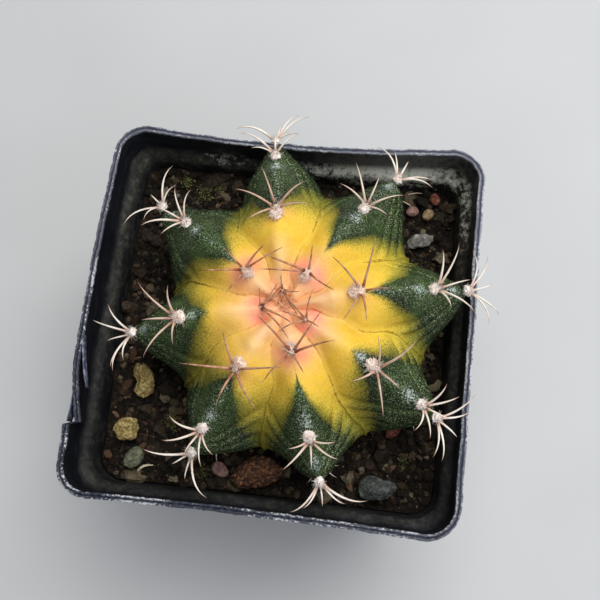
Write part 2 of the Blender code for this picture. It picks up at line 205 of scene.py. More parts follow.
def square_ring(half_width, height, corner_radius):
    """A rounded square at one height: the corner arcs, with each side between them bowed."""
    ring = []
    straight = half_width - corner_radius
    for side in range(4):
        turn = Matrix.Rotation(math.radians(90 * side), 3, "Z")
        for step in range(CORNER_STEPS + 1):
            angle = math.radians(90) * step / CORNER_STEPS
            point = Vector((straight, straight, height))
            ring.append(turn @ (point + corner_radius * Vector((math.cos(angle), math.sin(angle), 0))))
        bow = RIM_BOWS[side] * (height / POT_HEIGHT) ** BOW_FADE
        for step in range(1, SIDE_STEPS):
            share = step / SIDE_STEPS
            out = straight + corner_radius + bow * 4 * share * (1 - share)
            ring.append(turn @ Vector((straight * (1 - 2 * share), out, height)))
    return ring


def wall_half_width(height):
    """Outer half width of the lower wall."""
    return RIM_HALF_WIDTH - COLLAR_LEAN - LEDGE_WIDTH - WALL_TAPER * (LEDGE_HEIGHT - height)


def raise_ring(bm, ring, places):
    """Extrudes a closed ring of vertices and moves each new vertex to its place."""
    edges = [bm.edges.get(pair) for pair in zip(ring, ring[1:] + ring[:1])]
    made = set(bmesh.ops.extrude_edge_only(bm, edges=edges)["geom"])
    above = [next(e.other_vert(v) for e in v.link_edges if e.other_vert(v) in made) for v in ring]
    for vert, spot in zip(above, places):
        vert.co = spot
    return above


def skin_rings(bm, rings):
    """Skins a stack of closed rings and closes both ends."""
    ring = bmesh.ops.create_circle(bm, segments=len(rings[0]), radius=1)["verts"]
    for vert, spot in zip(ring, rings[0]):
        vert.co = spot
    loops = [ring]
    for places in rings[1:]:
        loops.append(raise_ring(bm, loops[-1], places))
    bm.faces.new(loops[0])
    bm.faces.new(loops[-1])
    bmesh.ops.recalc_face_normals(bm, faces=bm.faces)
    return loops


def worn(point):
    """Moves a point of the collar by the fraying of its lip and by the tear."""
    lip = smooth_step(1 - (POT_HEIGHT - point.z) / FRAY_DEPTH)
    outward = Vector((point.x, point.y, 0)).normalized()
    wave = noise.noise(point / (6 * MM)) * 0.22 * MM
    nick = noise.noise(point / (0.8 * MM)) * 0.17 * MM
    burr = max(noise.noise(point / (1.3 * MM) + Vector((5, 0, 0))) - 0.22, 0) * 1.1 * MM
    moved = point + lip * (outward * (wave + nick) + Vector((0, 0, 0.4 * nick - 0.6 * burr)))
    if point.x < -RIM_HALF_WIDTH + 3 * MM and TEAR_END < point.y < TEAR_START:
        share = (TEAR_START - point.y) / (TEAR_START - TEAR_END)
        rise = smooth_step((point.z - LEDGE_HEIGHT) / COLLAR_DEPTH)
        moved.x += TEAR_BEND * share**1.6 * rise
    return moved


inner_corner = CORNER_RADIUS - WALL
collar_half = RIM_HALF_WIDTH - COLLAR_LEAN
rows = [(wall_half_width(0) - 0.5 * MM, 0, CORNER_RADIUS - 0.5 * MM)]
for height in (0.5, 1.5, *range(6, 54, 4)):
    rows.append((wall_half_width(height * MM), height * MM, CORNER_RADIUS))
rows.append((wall_half_width(LEDGE_HEIGHT - WALL), LEDGE_HEIGHT - WALL - 0.4 * MM, CORNER_RADIUS))
rows.append((wall_half_width(LEDGE_HEIGHT) + 0.5 * MM, LEDGE_HEIGHT - WALL + 0.3 * MM, CORNER_RADIUS))
rows.append((collar_half - 0.4 * MM, LEDGE_HEIGHT - 0.4 * MM, CORNER_RADIUS))
for share in (0, 0.05, 0.2, 0.4, 0.55, 0.7, 0.8, 0.88, 0.94):
    lean = COLLAR_LEAN * (1 - share)
    rows.append((RIM_HALF_WIDTH - lean, LEDGE_HEIGHT + COLLAR_DEPTH * share, CORNER_RADIUS))
for step in range(LIP_STEPS + 1):
    across = step / LIP_STEPS
    crown = math.sin(math.pi * across) ** 0.5 * 0.3 * MM
    groove = LIP_GROOVE * math.exp(-(((across - 0.5) / 0.13) ** 2))
    rows.append((
        RIM_HALF_WIDTH - WALL * across,
        POT_HEIGHT - 0.3 * MM + crown - groove,
        CORNER_RADIUS - WALL * across,
    ))
for share in (0.9, 0.8, 0.66, 0.5, 0.35, 0.22):
    lean = COLLAR_LEAN * (1 - share)
    rows.append((RIM_HALF_WIDTH - lean - WALL, LEDGE_HEIGHT + COLLAR_DEPTH * share, inner_corner))
rows.append((collar_half - WALL - 0.1 * MM, LEDGE_HEIGHT + WALL + 0.1 * MM, inner_corner))
rows.append((collar_half - WALL - 0.6 * MM, LEDGE_HEIGHT + 0.7 * WALL, inner_corner))
rows.append((wall_half_width(LEDGE_HEIGHT) - WALL + 0.5 * MM, LEDGE_HEIGHT + 0.3 * WALL, inner_corner))
rows.append((wall_half_width(LEDGE_HEIGHT) - WALL, LEDGE_HEIGHT - 0.3 * WALL, inner_corner))
for height in (54, 52, 50, 46, 40, 30, 20, 10):
    rows.append((wall_half_width(height * MM) - WALL, height * MM, inner_corner))
rows.append((wall_half_width(FLOOR) - WALL, FLOOR, inner_corner))

bm = bmesh.new()
inside = bm.verts.layers.float.new("inside")  # 0 outside, 1 inside the lip
lip = bm.verts.layers.float.new("lip")  # 1 on the lip
lip_edge = bm.verts.layers.float.new("lip_edge")  # 1 along the two edges of the lip
loops = skin_rings(bm, [[worn(point) for point in square_ring(*row)] for row in rows])
first_lip = next(index for index, row in enumerate(rows) if row[1] >= POT_HEIGHT - 0.31 * MM)
for loop in loops[first_lip + LIP_STEPS // 2 :]:
    for vert in loop:
        vert[inside] = 1
for step, loop in enumerate(loops[first_lip : first_lip + LIP_STEPS + 1]):
    for vert in loop:
        vert[lip] = 1
        vert[lip_edge] = (1, 0.9, 0.35, 0.05, 0, 0.05, 0.35, 0.9, 1)[step]

# Black polypropylene: satin and slightly blue where bare, scuffed grey on the frayed lip, and coated inside
# with silty dust and hard-water scale from watering.
polypropylene, tree, shader = new_finish("black_polypropylene", 0.5, Specular_IOR_Level=0.25)
place = add_node(tree, "TexCoord", output="Object")
up = add_node(tree, "SeparateXYZ", place, output="Z")
facing_up = add_node(tree, "SeparateXYZ", add_node(tree, "NewGeometry", output="Normal"), output="Z")
within, lip_share, edge_share = (
    add_node(tree, "Attribute", output="Fac", attribute_name=name) for name in ("inside", "lip", "lip_edge")
)
smears = add_node(tree, "Mapping", place, None, None, (1.0, 1.0, 3.0))
smear = add_node(tree, "TexNoise", smears, 1 / (5 * MM), 6.0, 0.65)
specks = add_node(tree, "TexNoise", place, 1 / (0.7 * MM), 4.0)
crust = add_node(tree, "TexNoise", place, 1 / (1.6 * MM), 8.0, 0.8)
bare = add_node(tree, "ValToRGB", smear, stops=((0.3, "#11131B"), (0.55, "#1D202B"), (0.75, "#323643")))
# Painted shade: the bare plastic is darkened towards the front left, up to 0.65 of the way to near black.
toward_back = add_node(tree, "VectorMath", place, (0.7, 0.7, 0), operation="DOT_PRODUCT")
painted_shade = add_node(tree, "MapRange", toward_back, 20 * MM, -40 * MM, 0.0, 0.65)
# Silt lies below the collar, thicker on the ledge, which faces up, and where water has splashed it.
below_collar = add_node(tree, "MapRange", up, LEDGE_HEIGHT + 2.6 * MM, LEDGE_HEIGHT + 0.2 * MM, 0.16, 1.0)
on_ledge = add_node(tree, "Math", facing_up, 0.25, 0.12, operation="MULTIPLY_ADD")
corner = add_node(tree, "VectorMath", place, (18 * MM, 34 * MM, 57 * MM), operation="DISTANCE")
splashed = add_node(tree, "MapRange", corner, 25 * MM, 72 * MM, 1.0, 0.3)
silt = add_node(tree, "MapRange", add_node(tree, "Math", smear, on_ledge), 0.42, 0.84)
for share in (below_collar, within, splashed):
    silt = add_node(tree, "Math", silt, share, operation="MULTIPLY")
dust_stops = ((0.36, "#181712"), (0.48, "#34332B"), (0.6, "#5A584B"), (0.7, "#7C7B6E"))
dust = add_node(tree, "ValToRGB", crust, stops=dust_stops)
# Outside, dusty stains where wet hands and a bench have rubbed it.
stain = add_node(tree, "MapRange", add_node(tree, "Math", smear, crust), 0.92, 1.6, 0, 0.42)
outside = add_node(tree, "Math", 1.0, within, operation="SUBTRACT")
stain = add_node(tree, "Math", stain, outside, operation="MULTIPLY")
# Hard-water scale, whitest on the ledge of the back right corner, with a tide line on the ledge at the back.
scale_reach = add_node(tree, "MapRange", corner, 40 * MM, 5 * MM, -0.32, 0.09)
tide_end = add_node(tree, "VectorMath", place, (-14.5 * MM, 34.4 * MM, 57.4 * MM), operation="DISTANCE")
tide_reach = add_node(tree, "MapRange", tide_end, 8 * MM, 2 * MM, -0.32, -0.01)
scale_reach = add_node(tree, "Math", scale_reach, tide_reach, operation="MAXIMUM")
high_up = add_node(tree, "MapRange", up, LEDGE_HEIGHT - 4 * MM, LEDGE_HEIGHT + 0.5 * MM, -0.1, 0.08)
scale_reach = add_node(tree, "Math", scale_reach, high_up)
scale = add_node(tree, "MapRange", add_node(tree, "Math", crust, scale_reach), 0.5, 0.66)
for share in (add_node(tree, "MapRange", facing_up, 0.1, 0.8, 0.85, 1.0), below_collar, within):
    scale = add_node(tree, "Math", scale, share, operation="MULTIPLY")
# The lip is grey from scuffing, with a broken pale line of burrs along its two edges. Towards the back right a
# painted highlight lightens the lip and its burrs.
fray = add_node(tree, "ValToRGB", specks, stops=((0.36, "#1A1D28"), (0.5, "#262A37"), (0.64, "#3A4050")))
# Painted highlight: the lip is lightened towards the back right, the side the key panel is on.
lip_highlight = add_node(tree, "VectorMath", place, (0.6, 0.8, 0), operation="DOT_PRODUCT")
lip_highlight = add_node(tree, "MapRange", lip_highlight, -30 * MM, 40 * MM, 0.0, 0.7)
lip_highlight = add_node(tree, "Math", lip_highlight, lip_share, operation="MULTIPLY")
flecks = add_node(tree, "TexNoise", place, 1 / (0.45 * MM), 3.0)
frayed = add_node(tree, "TexNoise", place, 1 / (9 * MM), 2.0)
burrs_and_highlight = add_node(tree, "MapRange", add_node(tree, "Math", flecks, frayed), 1.05, 1.17, 0.04)
burrs_and_highlight = add_node(tree, "Math", lip_highlight, 0.55, burrs_and_highlight, operation="MULTIPLY_ADD", use_clamp=True)
burrs_and_highlight = add_node(tree, "Math", burrs_and_highlight, edge_share, operation="MULTIPLY")
colour = bare
for share, layer in (
    (painted_shade, "#06080E"), (silt, dust), (stain, "#5C606A"), (scale, "#DDE0D6"),
    (lip_share, fray), (lip_highlight, "#5E6273"), (burrs_and_highlight, "#CDD1DB"),
):
    colour = add_node(tree, "Mix", share, colour, layer, data_type="RGBA")
rough = add_node(tree, "MapRange", silt, 0.0, 0.8, 0.42, 0.9)
relief = add_node(tree, "Bump", 0.6, 0.12 * MM, None, specks)
wire(tree, shader, Base_Color=colour, Roughness=rough, Normal=relief)

pot = finish_mesh("nursery_pot", bm, [polypropylene], sharp=50)
bm = bmesh.new()
for hole in range(8):
    stretch = math.sqrt(2) if hole % 2 else 1
    spot = Matrix.Rotation(math.radians(45 * hole), 4, "Z") @ Matrix.Translation(
        (DRAIN_HOLE_OFFSET * stretch, 0, FLOOR / 2)
    )
    bmesh.ops.create_cone(
        bm, cap_ends=True, segments=24, radius1=DRAIN_HOLE_RADIUS, radius2=DRAIN_HOLE_RADIUS, depth=4 * FLOOR,
        matrix=spot,
    )
cutter = finish_mesh("drain_hole_cutter", bm, [polypropylene])
cut = pot.modifiers.new("drain_holes", "BOOLEAN")
cut.operation = "DIFFERENCE"
cut.solver = "EXACT"
cut.object = cutter
pierced = bpy.data.meshes.new_from_object(pot.evaluated_get(bpy.context.evaluated_depsgraph_get()))
pot.modifiers.clear()
pot.data = pierced
bpy.data.objects.remove(cutter, do_unlink=True)
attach(pot, "root")
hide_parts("pot")


# Torn strips
# Where the rim tore on the left, two thin strips of its plastic still hang on: the outer skin, standing along
# the old line of the rim, and a sliver peeled inward from the lip.

STRIP_STEPS = 26
# Each strip: start and end in mm, height at the start and end, thickness, how far it stands up, bow.
STRIPS = (
    ((-34.95, -11.8), (-34.75, -22.2), (63.7, 63.3), 0.3, 2.6, 0.35),
    ((-34.5, -5.5), (-32.5, -15.9), (63.9, 62.9), 0.35, 1.3, -0.3),
)

bm = bmesh.new()
for start, end, heights, thickness, stand, bow in STRIPS:
    along_strip = (Vector(end) - Vector(start)).normalized()
    across = Vector((-along_strip.y, along_strip.x))
    face = None
    for step in range(STRIP_STEPS + 1):
        share = step / STRIP_STEPS
        middle = Vector(start).lerp(Vector(end), share) + across * bow * 4 * share * (1 - share)
        top = heights[0] + (heights[1] - heights[0]) * share
        wobble = noise.noise(Vector((step * 0.45, thickness * 9, 0))) * 0.25
        thin = thickness * (0.35 + 0.65 * smooth_step(min(share, 1 - share) * 6))
        corners = [
            Vector((*middle - across * thin / 2, top - stand)),
            Vector((*middle + across * thin / 2, top - stand)),
            Vector((*middle + across * thin * 0.3, top + wobble)),
            Vector((*middle - across * thin * 0.3, top + wobble)),
        ]
        if face is None:
            square = bmesh.ops.create_circle(bm, cap_ends=True, segments=4, radius=MM)["verts"]
            face = square[0].link_faces[0]
            ends = square
        else:
            made = bmesh.ops.extrude_discrete_faces(bm, faces=[face])["faces"]
            face = made[0]
            ends = list(face.verts)
        for vert, corner in zip(ends, corners):
            vert.co = corner * MM
bmesh.ops.recalc_face_normals(bm, faces=bm.faces)
bmesh.ops.subdivide_edges(bm, edges=bm.edges, cuts=1)
# The torn edge of black polypropylene whitens where it has been stretched.
torn_plastic, tree, shader = new_finish("stress_whitened_polypropylene", 0.55)
place = add_node(tree, "TexCoord", output="Object")
streaks = add_node(tree, "TexNoise", place, 1 / (1.2 * MM), 3.0)
whitening = ((0.35, "#2A2F40"), (0.55, "#596078"), (0.7, "#9AA0B2"))
stretched = add_node(tree, "ValToRGB", streaks, stops=whitening)
wire(tree, shader, Base_Color=stretched)
strips = finish_mesh("pot_torn_strips", bm, [torn_plastic], sharp=40)
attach(strips, "root")


# Soil
# Peat and composted bark mixed with grit fills the pot to below its collar: a lumpy dark bed that the taproot
# goes down into.

PLANT_AXIS = (2.9 * MM, -0.8 * MM)
GAP = 0.3 * MM
SOIL_LEVEL = 51.6 * MM
SOIL_SLOPE = (-0.03, 0.03)
SOIL_ROUGHNESS = 0.7 * MM
SOIL_CRUMB = 7 * MM
MOUND_RADIUS = 21.6 * MM
MOUND_FADE = 8 * MM
NECK_RADIUS = 19.0 * MM  # of the hole that the plant stands in, at the surface
ROOT_RADIUS = 4 * MM
ROOT_DEPTH = 33 * MM
SOIL_RINGS = 58


def from_plant(x, y):
    return math.hypot(x - PLANT_AXIS[0], y - PLANT_AXIS[1])


def soil_height(x, y):
    """The general level of the soil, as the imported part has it."""
    outer = smooth_step((from_plant(x, y) - MOUND_RADIUS) / MOUND_FADE)
    crumbs = noise.noise(Vector((x, y, 0)) / SOIL_CRUMB) * SOIL_ROUGHNESS
    return SOIL_LEVEL + (SOIL_SLOPE[0] * x + SOIL_SLOPE[1] * y + crumbs) * outer


def soil_surface(x, y):
    """The soil with its lumps."""
    place = Vector((x, y, 0))
    lumps = noise.fractal(place / (2.6 * MM), 1.0, 2.1, 4) * 0.7 * MM
    return soil_height(x, y) - 0.35 * MM + lumps


rings = [
    square_ring(wall_half_width(height * MM) - WALL - GAP, height * MM, CORNER_RADIUS - WALL - GAP)
    for height in (FLOOR / MM + 0.3, 14, 28, 40, 48, 50)
]
edge = square_ring(wall_half_width(SOIL_LEVEL) - WALL - GAP, SOIL_LEVEL, CORNER_RADIUS - WALL - GAP)
for step in range(SOIL_RINGS + 1):
    share = step / SOIL_RINGS
    ring = []
    for point in edge:
        away = Vector((point.x - PLANT_AXIS[0], point.y - PLANT_AXIS[1])).normalized() * NECK_RADIUS
        x = point.x + (PLANT_AXIS[0] + away.x - point.x) * share
        y = point.y + (PLANT_AXIS[1] + away.y - point.y) * share
        ring.append(Vector((x, y, soil_surface(x, y))))
    rings.append(ring)
for radius, depth in ((15.5 * MM, 46 * MM), (9 * MM, 39 * MM), (ROOT_RADIUS, ROOT_DEPTH)):
    ring = []
    for point in edge:
        away = Vector((point.x - PLANT_AXIS[0], point.y - PLANT_AXIS[1])).normalized() * radius
        ring.append(Vector((PLANT_AXIS[0] + away.x, PLANT_AXIS[1] + away.y, depth - GAP)))
    rings.append(ring)
bm = bmesh.new()
skin_rings(bm, rings)

# Damp peat and bark: dark, dull brown on the crumbs and never glossy; the colour follows the crumbs' relief,
# so the hollows are painted nearly black, as shade.
peat, tree, shader = new_finish("peat_and_bark_mix", 0.95, Specular_IOR_Level=0.2)
place = add_node(tree, "TexCoord", output="Object")
crumbs = add_node(tree, "TexNoise", place, 1 / (1.4 * MM), 8.0, 0.7)
earth = add_node(
    tree, "ValToRGB", crumbs,
    stops=((0.34, "#070504"), (0.48, "#15100B"), (0.6, "#2A2118"), (0.72, "#463B2D")),
)
relief = add_node(tree, "Bump", 0.9, 0.8 * MM, None, crumbs)
wire(tree, shader, Base_Color=earth, Normal=relief)
soil = finish_mesh("soil_bed", bm, [peat])
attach(soil, "root")
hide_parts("soil")


# Stones
# The eleven larger stones on the soil: pumice, lava rock and washed river gravel, each lying loose where it
# was tipped in.

# Each stone: half sizes (long, wide, high) in mm, turn in degrees, how angular and how pitted it is, its
# finish. One is bent, with a waist.
STONES = {
    "pumice_stone_west": ((3.3, 2.2, 1.7), 104, 0.42, 0.26, "pumice"),
    "pumice_stone_southwest": ((2.3, 2.0, 1.6), 20, 0.46, 0.18, "pumice"),
    "grey_green_stone": ((2.1, 1.6, 1.2), 60, 0.34, 0.12, "grey_green_gravel"),
    "lava_stone": ((4.6, 2.7, 2.0), 12, 0.46, 0.42, "lava_rock"),
    "pink_grey_stone": ((1.8, 1.3, 1.0), 150, 0.20, 0.04, "pink_gravel"),
    "blue_grey_stone": ((3.5, 2.3, 1.6), 5, 0.34, 0.10, "blue_grey_gravel"),
    "orange_brown_stone": ((1.6, 1.3, 1.0), 40, 0.26, 0.06, "red_gravel"),
    "light_grey_stone": ((2.5, 1.5, 0.9), 25, 0.62, 0.08, "pale_gravel"),
    "tan_stone": ((1.3, 1.1, 0.9), 70, 0.20, 0.04, "tan_gravel"),
    "red_stone": ((1.3, 1.1, 0.9), 120, 0.20, 0.04, "red_gravel"),
    "pink_stone": ((1.3, 1.1, 0.9), 10, 0.20, 0.04, "pink_gravel"),
}
# Each finish: darkest, middle and palest colour, grain size in mm, depth of the pores in mm, record slot.
STONE_FINISHES = {
    "pumice": (("#544524", "#94804C", "#C6B47E"), 0.7, 0.36, "pumice"),
    "lava_rock": (("#170E0A", "#4A2C1A", "#9A6840"), 0.9, 0.5, "lava"),
    "grey_green_gravel": (("#35382C", "#535645", "#7A7C66"), 0.8, 0.15, "grey_gravel"),
    "blue_grey_gravel": (("#1E2223", "#3B403F", "#666B69"), 0.9, 0.18, "grey_gravel"),
    "pale_gravel": (("#3E3D3A", "#66645F", "#A3A3A0"), 1.3, 0.12, "grey_gravel"),
    "pink_gravel": (("#4E3835", "#7A5C56", "#A0837A"), 0.9, 0.08, "pink_gravel"),
    "tan_gravel": (("#54432F", "#8A7354", "#B09A78"), 0.8, 0.08, "pink_gravel"),
    "red_gravel": (("#40201A", "#7A4232", "#A06A54"), 0.8, 0.1, "pink_gravel"),
}
STONE_DETAIL = 5
BENT_STONE = "pumice_stone_west"

finishes = {}
for name, (colours, grain, pores, _) in STONE_FINISHES.items():
    # Stone: dull, with crystals or pores of the size that its kind shows, and painted shade darkening its
    # pits.
    rock, tree, shader = new_finish(name, 0.85)
    place = add_node(tree, "TexCoord", output="Object")
    crystals = add_node(tree, "TexNoise", place, 1 / (grain * MM), 6.0, 0.65)
    tint = add_node(
        tree, "ValToRGB", crystals, stops=((0.33, colours[0]), (0.5, colours[1]), (0.68, colours[2]))
    )
    pits = add_node(tree, "TexVoronoi", place, 1 / (grain * MM))
    # Painted shade: the pits are darkened towards the stone's darkest colour.
    painted_pit_shade = add_node(tree, "MapRange", pits, 0.05, 0.3, min(pores * 1.6, 0.7), 0.0)
    tint = add_node(tree, "Mix", painted_pit_shade, tint, colours[0], data_type="RGBA")
    height = add_node(tree, "Math", crystals, pits)
    relief = add_node(tree, "Bump", None, max(pores, 0.15) * MM, None, height)
    wire(tree, shader, Base_Color=tint, Normal=relief)
    finishes[name] = rock


def bell(offset, width):
    return math.exp(-((offset / width) ** 2))


for node, (half_sizes, turn, angular, pitted, finish) in STONES.items():
    low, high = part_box(node)
    middle = (low + high) / 2
    bm = bmesh.new()
    bmesh.ops.create_icosphere(bm, subdivisions=STONE_DETAIL, radius=1)
    seed = middle / MM
    for vert in bm.verts:
        facets = noise.voronoi(vert.co * 1.1 + seed, distance_metric="DISTANCE")[0]
        facet = (facets[1] - facets[0]) * angular
        swell = noise.noise(vert.co * 0.9 + seed) * angular
        pit = noise.noise(vert.co * 5 + seed) * pitted
        vert.co *= 0.94 + swell + 0.5 * facet - abs(pit)
        if node == BENT_STONE:
            waist = bell(vert.co.x + 0.15, 0.42)
            vert.co.y = vert.co.y * (1 - 0.26 * waist) * (1 - 0.22 * vert.co.x) - 0.26 * waist
    size = Matrix.Diagonal([value * MM for value in half_sizes]).to_4x4()
    bm.transform(Matrix.Rotation(math.radians(turn), 4, "Z") @ size)
    lift = low.z - 0.3 * MM - min(vert.co.z for vert in bm.verts)
    bm.transform(Matrix.Translation((middle.x, middle.y, lift)))
    stone = finish_mesh(node + "_pebble", bm, [finishes[finish]])
    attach(stone, "root")
    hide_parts(node)


# Loose soil
# What lies on the bed: peat crumbs, clods, chips of bark and fine grit, thrown in at random and settled.

INNER_HALF = 30.6 * MM
INNER_CORNER = 4.6 * MM
STONE_SHARE = 0.44  # of a stone's box, measured from its middle, that nothing lies in
SCATTER_HOLE = 15 * MM  # nothing is scattered nearer to the plant's axis, where it would be hidden
scatter = random.Random(11)
resting = {node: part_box(node) for node in STONES}


def free_place(clearance):
    """A random place on the soil that isn't under the plant or on one of the larger stones."""
    while True:
        x = scatter.uniform(-INNER_HALF, INNER_HALF)
        y = scatter.uniform(-INNER_HALF, INNER_HALF)
        corner = max(abs(x) - INNER_HALF + INNER_CORNER, 0), max(abs(y) - INNER_HALF + INNER_CORNER, 0)
        if math.hypot(*corner) > INNER_CORNER or from_plant(x, y) < SCATTER_HOLE:
            continue
        blocked = False
        for low, high in resting.values():
            middle = (low + high) / 2
            across = (x - middle.x) / (high.x - low.x + clearance)
            along = (y - middle.y) / (high.y - low.y + clearance)
            blocked = blocked or math.hypot(across, along) < STONE_SHARE
        if not blocked:
            return x, y


GRAIN_BATCH = 50  # grains shaped together before they join the rest, which keeps each step quick


def scatter_grains(name, finish, slot, count, sizes, stretch, roughness, sink):
    """Angular grains: sizes is the range of radii in mm, stretch their length and thickness."""
    bm = bmesh.new()
    bm.verts.layers.float.new("tone")
    batch_mesh = bpy.data.meshes.new("batch")
    for first in range(0, count, GRAIN_BATCH):
        batch = bmesh.new()
        tone = batch.verts.layers.float.new("tone")
        for _ in range(min(GRAIN_BATCH, count - first)):
            radius = scatter.uniform(0, 1) ** 2 * (sizes[1] - sizes[0]) + sizes[0]
            x, y = free_place(radius * MM)
            long = scatter.uniform(*stretch[0])
            flat = scatter.uniform(*stretch[1])
            centre = Vector((x, y, soil_surface(x, y) + radius * MM * sink))
            turn = Matrix.Rotation(scatter.uniform(0, math.tau), 4, "Z")
            turn @= Matrix.Rotation(scatter.gauss(0, 0.3 if long > 1.6 else 2), 4, "Y")
            shape = Matrix.Diagonal((radius * long * MM, radius * MM, radius * flat * MM)).to_4x4()
            grain = bmesh.ops.create_icosphere(
                batch, subdivisions=1 if radius < 0.9 else 2, radius=1,
                matrix=Matrix.Translation(centre) @ turn @ shape,
            )["verts"]
            shade = scatter.uniform(0, 1)
            for vert in grain:
                vert.co += (vert.co - centre) * scatter.uniform(-roughness, roughness)
                vert[tone] = shade
        batch.to_mesh(batch_mesh)
        batch.free()
        bm.from_mesh(batch_mesh)
    bpy.data.meshes.remove(batch_mesh)
    grains = finish_mesh(name, bm, [finish], sharp=35)
    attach(grains, "root")


def grain_finish(name, roughness, stops):
    """A dull finish whose colour differs from grain to grain, mottled within each."""
    finish, tree, shader = new_finish(name, roughness, Specular_IOR_Level=0.3)
    place = add_node(tree, "TexCoord", output="Object")
    own = add_node(tree, "Attribute", output="Fac", attribute_name="tone")
    mottle = add_node(tree, "TexNoise", place, 1 / (0.6 * MM), 5.0)
    mixed = add_node(tree, "Math", mottle, 0.7, -0.35, operation="MULTIPLY_ADD")
    mixed = add_node(tree, "Math", mixed, own)
    tint = add_node(tree, "ValToRGB", mixed, stops=stops)
    relief = add_node(tree, "Bump", None, 0.25 * MM, None, mottle)
    wire(tree, shader, Base_Color=tint, Normal=relief)
    return finish


# Peat crumbs: soft, almost black. Clods: peat with dry silt on it, grey-brown. Bark: fibrous red-brown. Grit:
# crushed granite and brick. Each: name, finish, its roughness and colours, record slot, count, radii in mm,
# range of length and of thickness, how rough, how deep it is sunk.
GRAINS = (
    ("peat_crumbs", "peat_crumb", 0.95,
     ((0.0, "#0A0806"), (0.45, "#1B150F"), (0.75, "#30261C"), (1.0, "#4A3D2E")),
     "potting_soil", 3400, (0.15, 0.95), ((0.8, 1.5), (0.6, 1.0)), 0.3, 0.0),
    ("soil_clods", "soil_clod", 0.95,
     ((0.0, "#0F0C08"), (0.4, "#271F17"), (0.7, "#473D2F"), (1.0, "#6C6350")),
     "potting_soil", 520, (0.5, 1.7), ((0.9, 1.6), (0.5, 0.9)), 0.32, -0.1),
    ("bark_chips", "composted_bark", 0.9,
     ((0.0, "#120C08"), (0.4, "#2A1D14"), (0.75, "#452F22"), (1.0, "#6A5340")),
     "potting_soil", 260, (0.2, 0.8), ((1.6, 3.6), (0.3, 0.7)), 0.25, 0.3),
    ("grit_grains", "crushed_grit", 0.8,
     ((0.0, "#24221E"), (0.35, "#3F3C33"), (0.6, "#524336"), (0.85, "#625B47"), (1.0, "#7A776C")),
     "grey_gravel", 260, (0.2, 0.8), ((0.8, 1.3), (0.6, 1.0)), 0.25, 0.2),
)
for name, finish_name, dullness, stops, *heap in GRAINS:
    scatter_grains(name, grain_finish(finish_name, dullness, stops), *heap)


# Moss and fibres
# Tufts of moss on the damp soil, and what has fallen between them: dead root hairs, strands of coir and
# slivers of straw.

# Each tuft: place in mm, radius in mm, number of leaves.
MOSS_TUFTS = (
    ((-18.8, 26.3), 1.9, 260),
    ((-22.8, 28.2), 1.5, 160),
    ((-16.4, 27.4), 1.3, 90),
    ((-18.6, -19.6), 1.8, 190),
    ((-11.5, -27.8), 1.6, 110),
    ((24.6, 15.4), 1.4, 60),
    ((18.6, -27.4), 1.6, 110),
    ((25.4, -21.5), 1.4, 80),
)
# Each strand: start and end in mm, thickness in mm, how far it arches up in mm.
STRANDS = (
    ((20.4, 29.4), (25.6, 30.2), 0.26, 1.2),
    ((19.8, 28.6), (23.6, 26.4), 0.24, 1.0),
    ((-24.0, -29.2), (-21.0, -27.9), 0.6, 0.2),
)
COIR_STRANDS = 46
STRAND_STEPS = 7


def lay_strand(bm, start, end, thickness, arch, bend, tone_value):
    """A thin strand over the soil from start to end, drawn out ring by ring."""
    tone = bm.verts.layers.float["tone"]
    ring = bmesh.ops.create_circle(bm, cap_ends=True, segments=5, radius=1)["verts"]
    face = ring[0].link_faces[0]
    along = (end - start).normalized()
    side = Vector((-along.y, along.x, 0))
    for step in range(STRAND_STEPS + 1):
        if step:
            face = bmesh.ops.extrude_discrete_faces(bm, faces=[face])["faces"][0]
            ring = list(face.verts)
        share = step / STRAND_STEPS
        swing = 4 * share * (1 - share)
        centre = start.lerp(end, share) + side * bend * swing
        centre.z = soil_surface(centre.x, centre.y) + arch * swing + 0.15 * MM
        wide = thickness / 2 * (1 - 0.7 * share**2)
        for index, vert in enumerate(ring):
            turn = math.tau * index / len(ring)
            vert.co = centre + (side * math.cos(turn) + Vector((0, 0, 1)) * math.sin(turn)) * wide
            vert[tone] = tone_value


bm = bmesh.new()
tone = bm.verts.layers.float.new("tone")
for (x, y), radius, leaves in MOSS_TUFTS:
    for _ in range(leaves):
        leaf_x = x * MM + scatter.gauss(0, radius / 2) * MM
        leaf_y = y * MM + scatter.gauss(0, radius / 2) * MM
        out = Vector((leaf_x - x * MM, leaf_y - y * MM, radius * MM * 0.8))
        out = (out.normalized() + Vector([scatter.gauss(0, 0.6) for _ in range(3)])).normalized()
        dome = bell(math.hypot(leaf_x - x * MM, leaf_y - y * MM), radius * MM) * 0.5 * radius * MM
        foot = Vector((leaf_x, leaf_y, soil_surface(leaf_x, leaf_y) + dome))
        lean = Vector((0, 0, 1)).rotation_difference(out).to_matrix().to_4x4()
        leaf = bmesh.ops.create_cone(
            bm, segments=4, radius1=0.15 * MM, radius2=0.05 * MM, depth=0.5 * MM,
            matrix=Matrix.Translation(foot) @ lean,
        )["verts"]
        shade = scatter.uniform(0, 1)
        for vert in leaf:
            vert[tone] = shade
# Moss: small translucent leaves, yellow-green at the top of a tuft.
moss = grain_finish(
    "soil_moss", 0.85, ((0.0, "#1B1A0F"), (0.4, "#38381C"), (0.75, "#5A5A32"), (1.0, "#86865A"))
)
tufts = finish_mesh("moss_tufts", bm, [moss])
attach(tufts, "root")

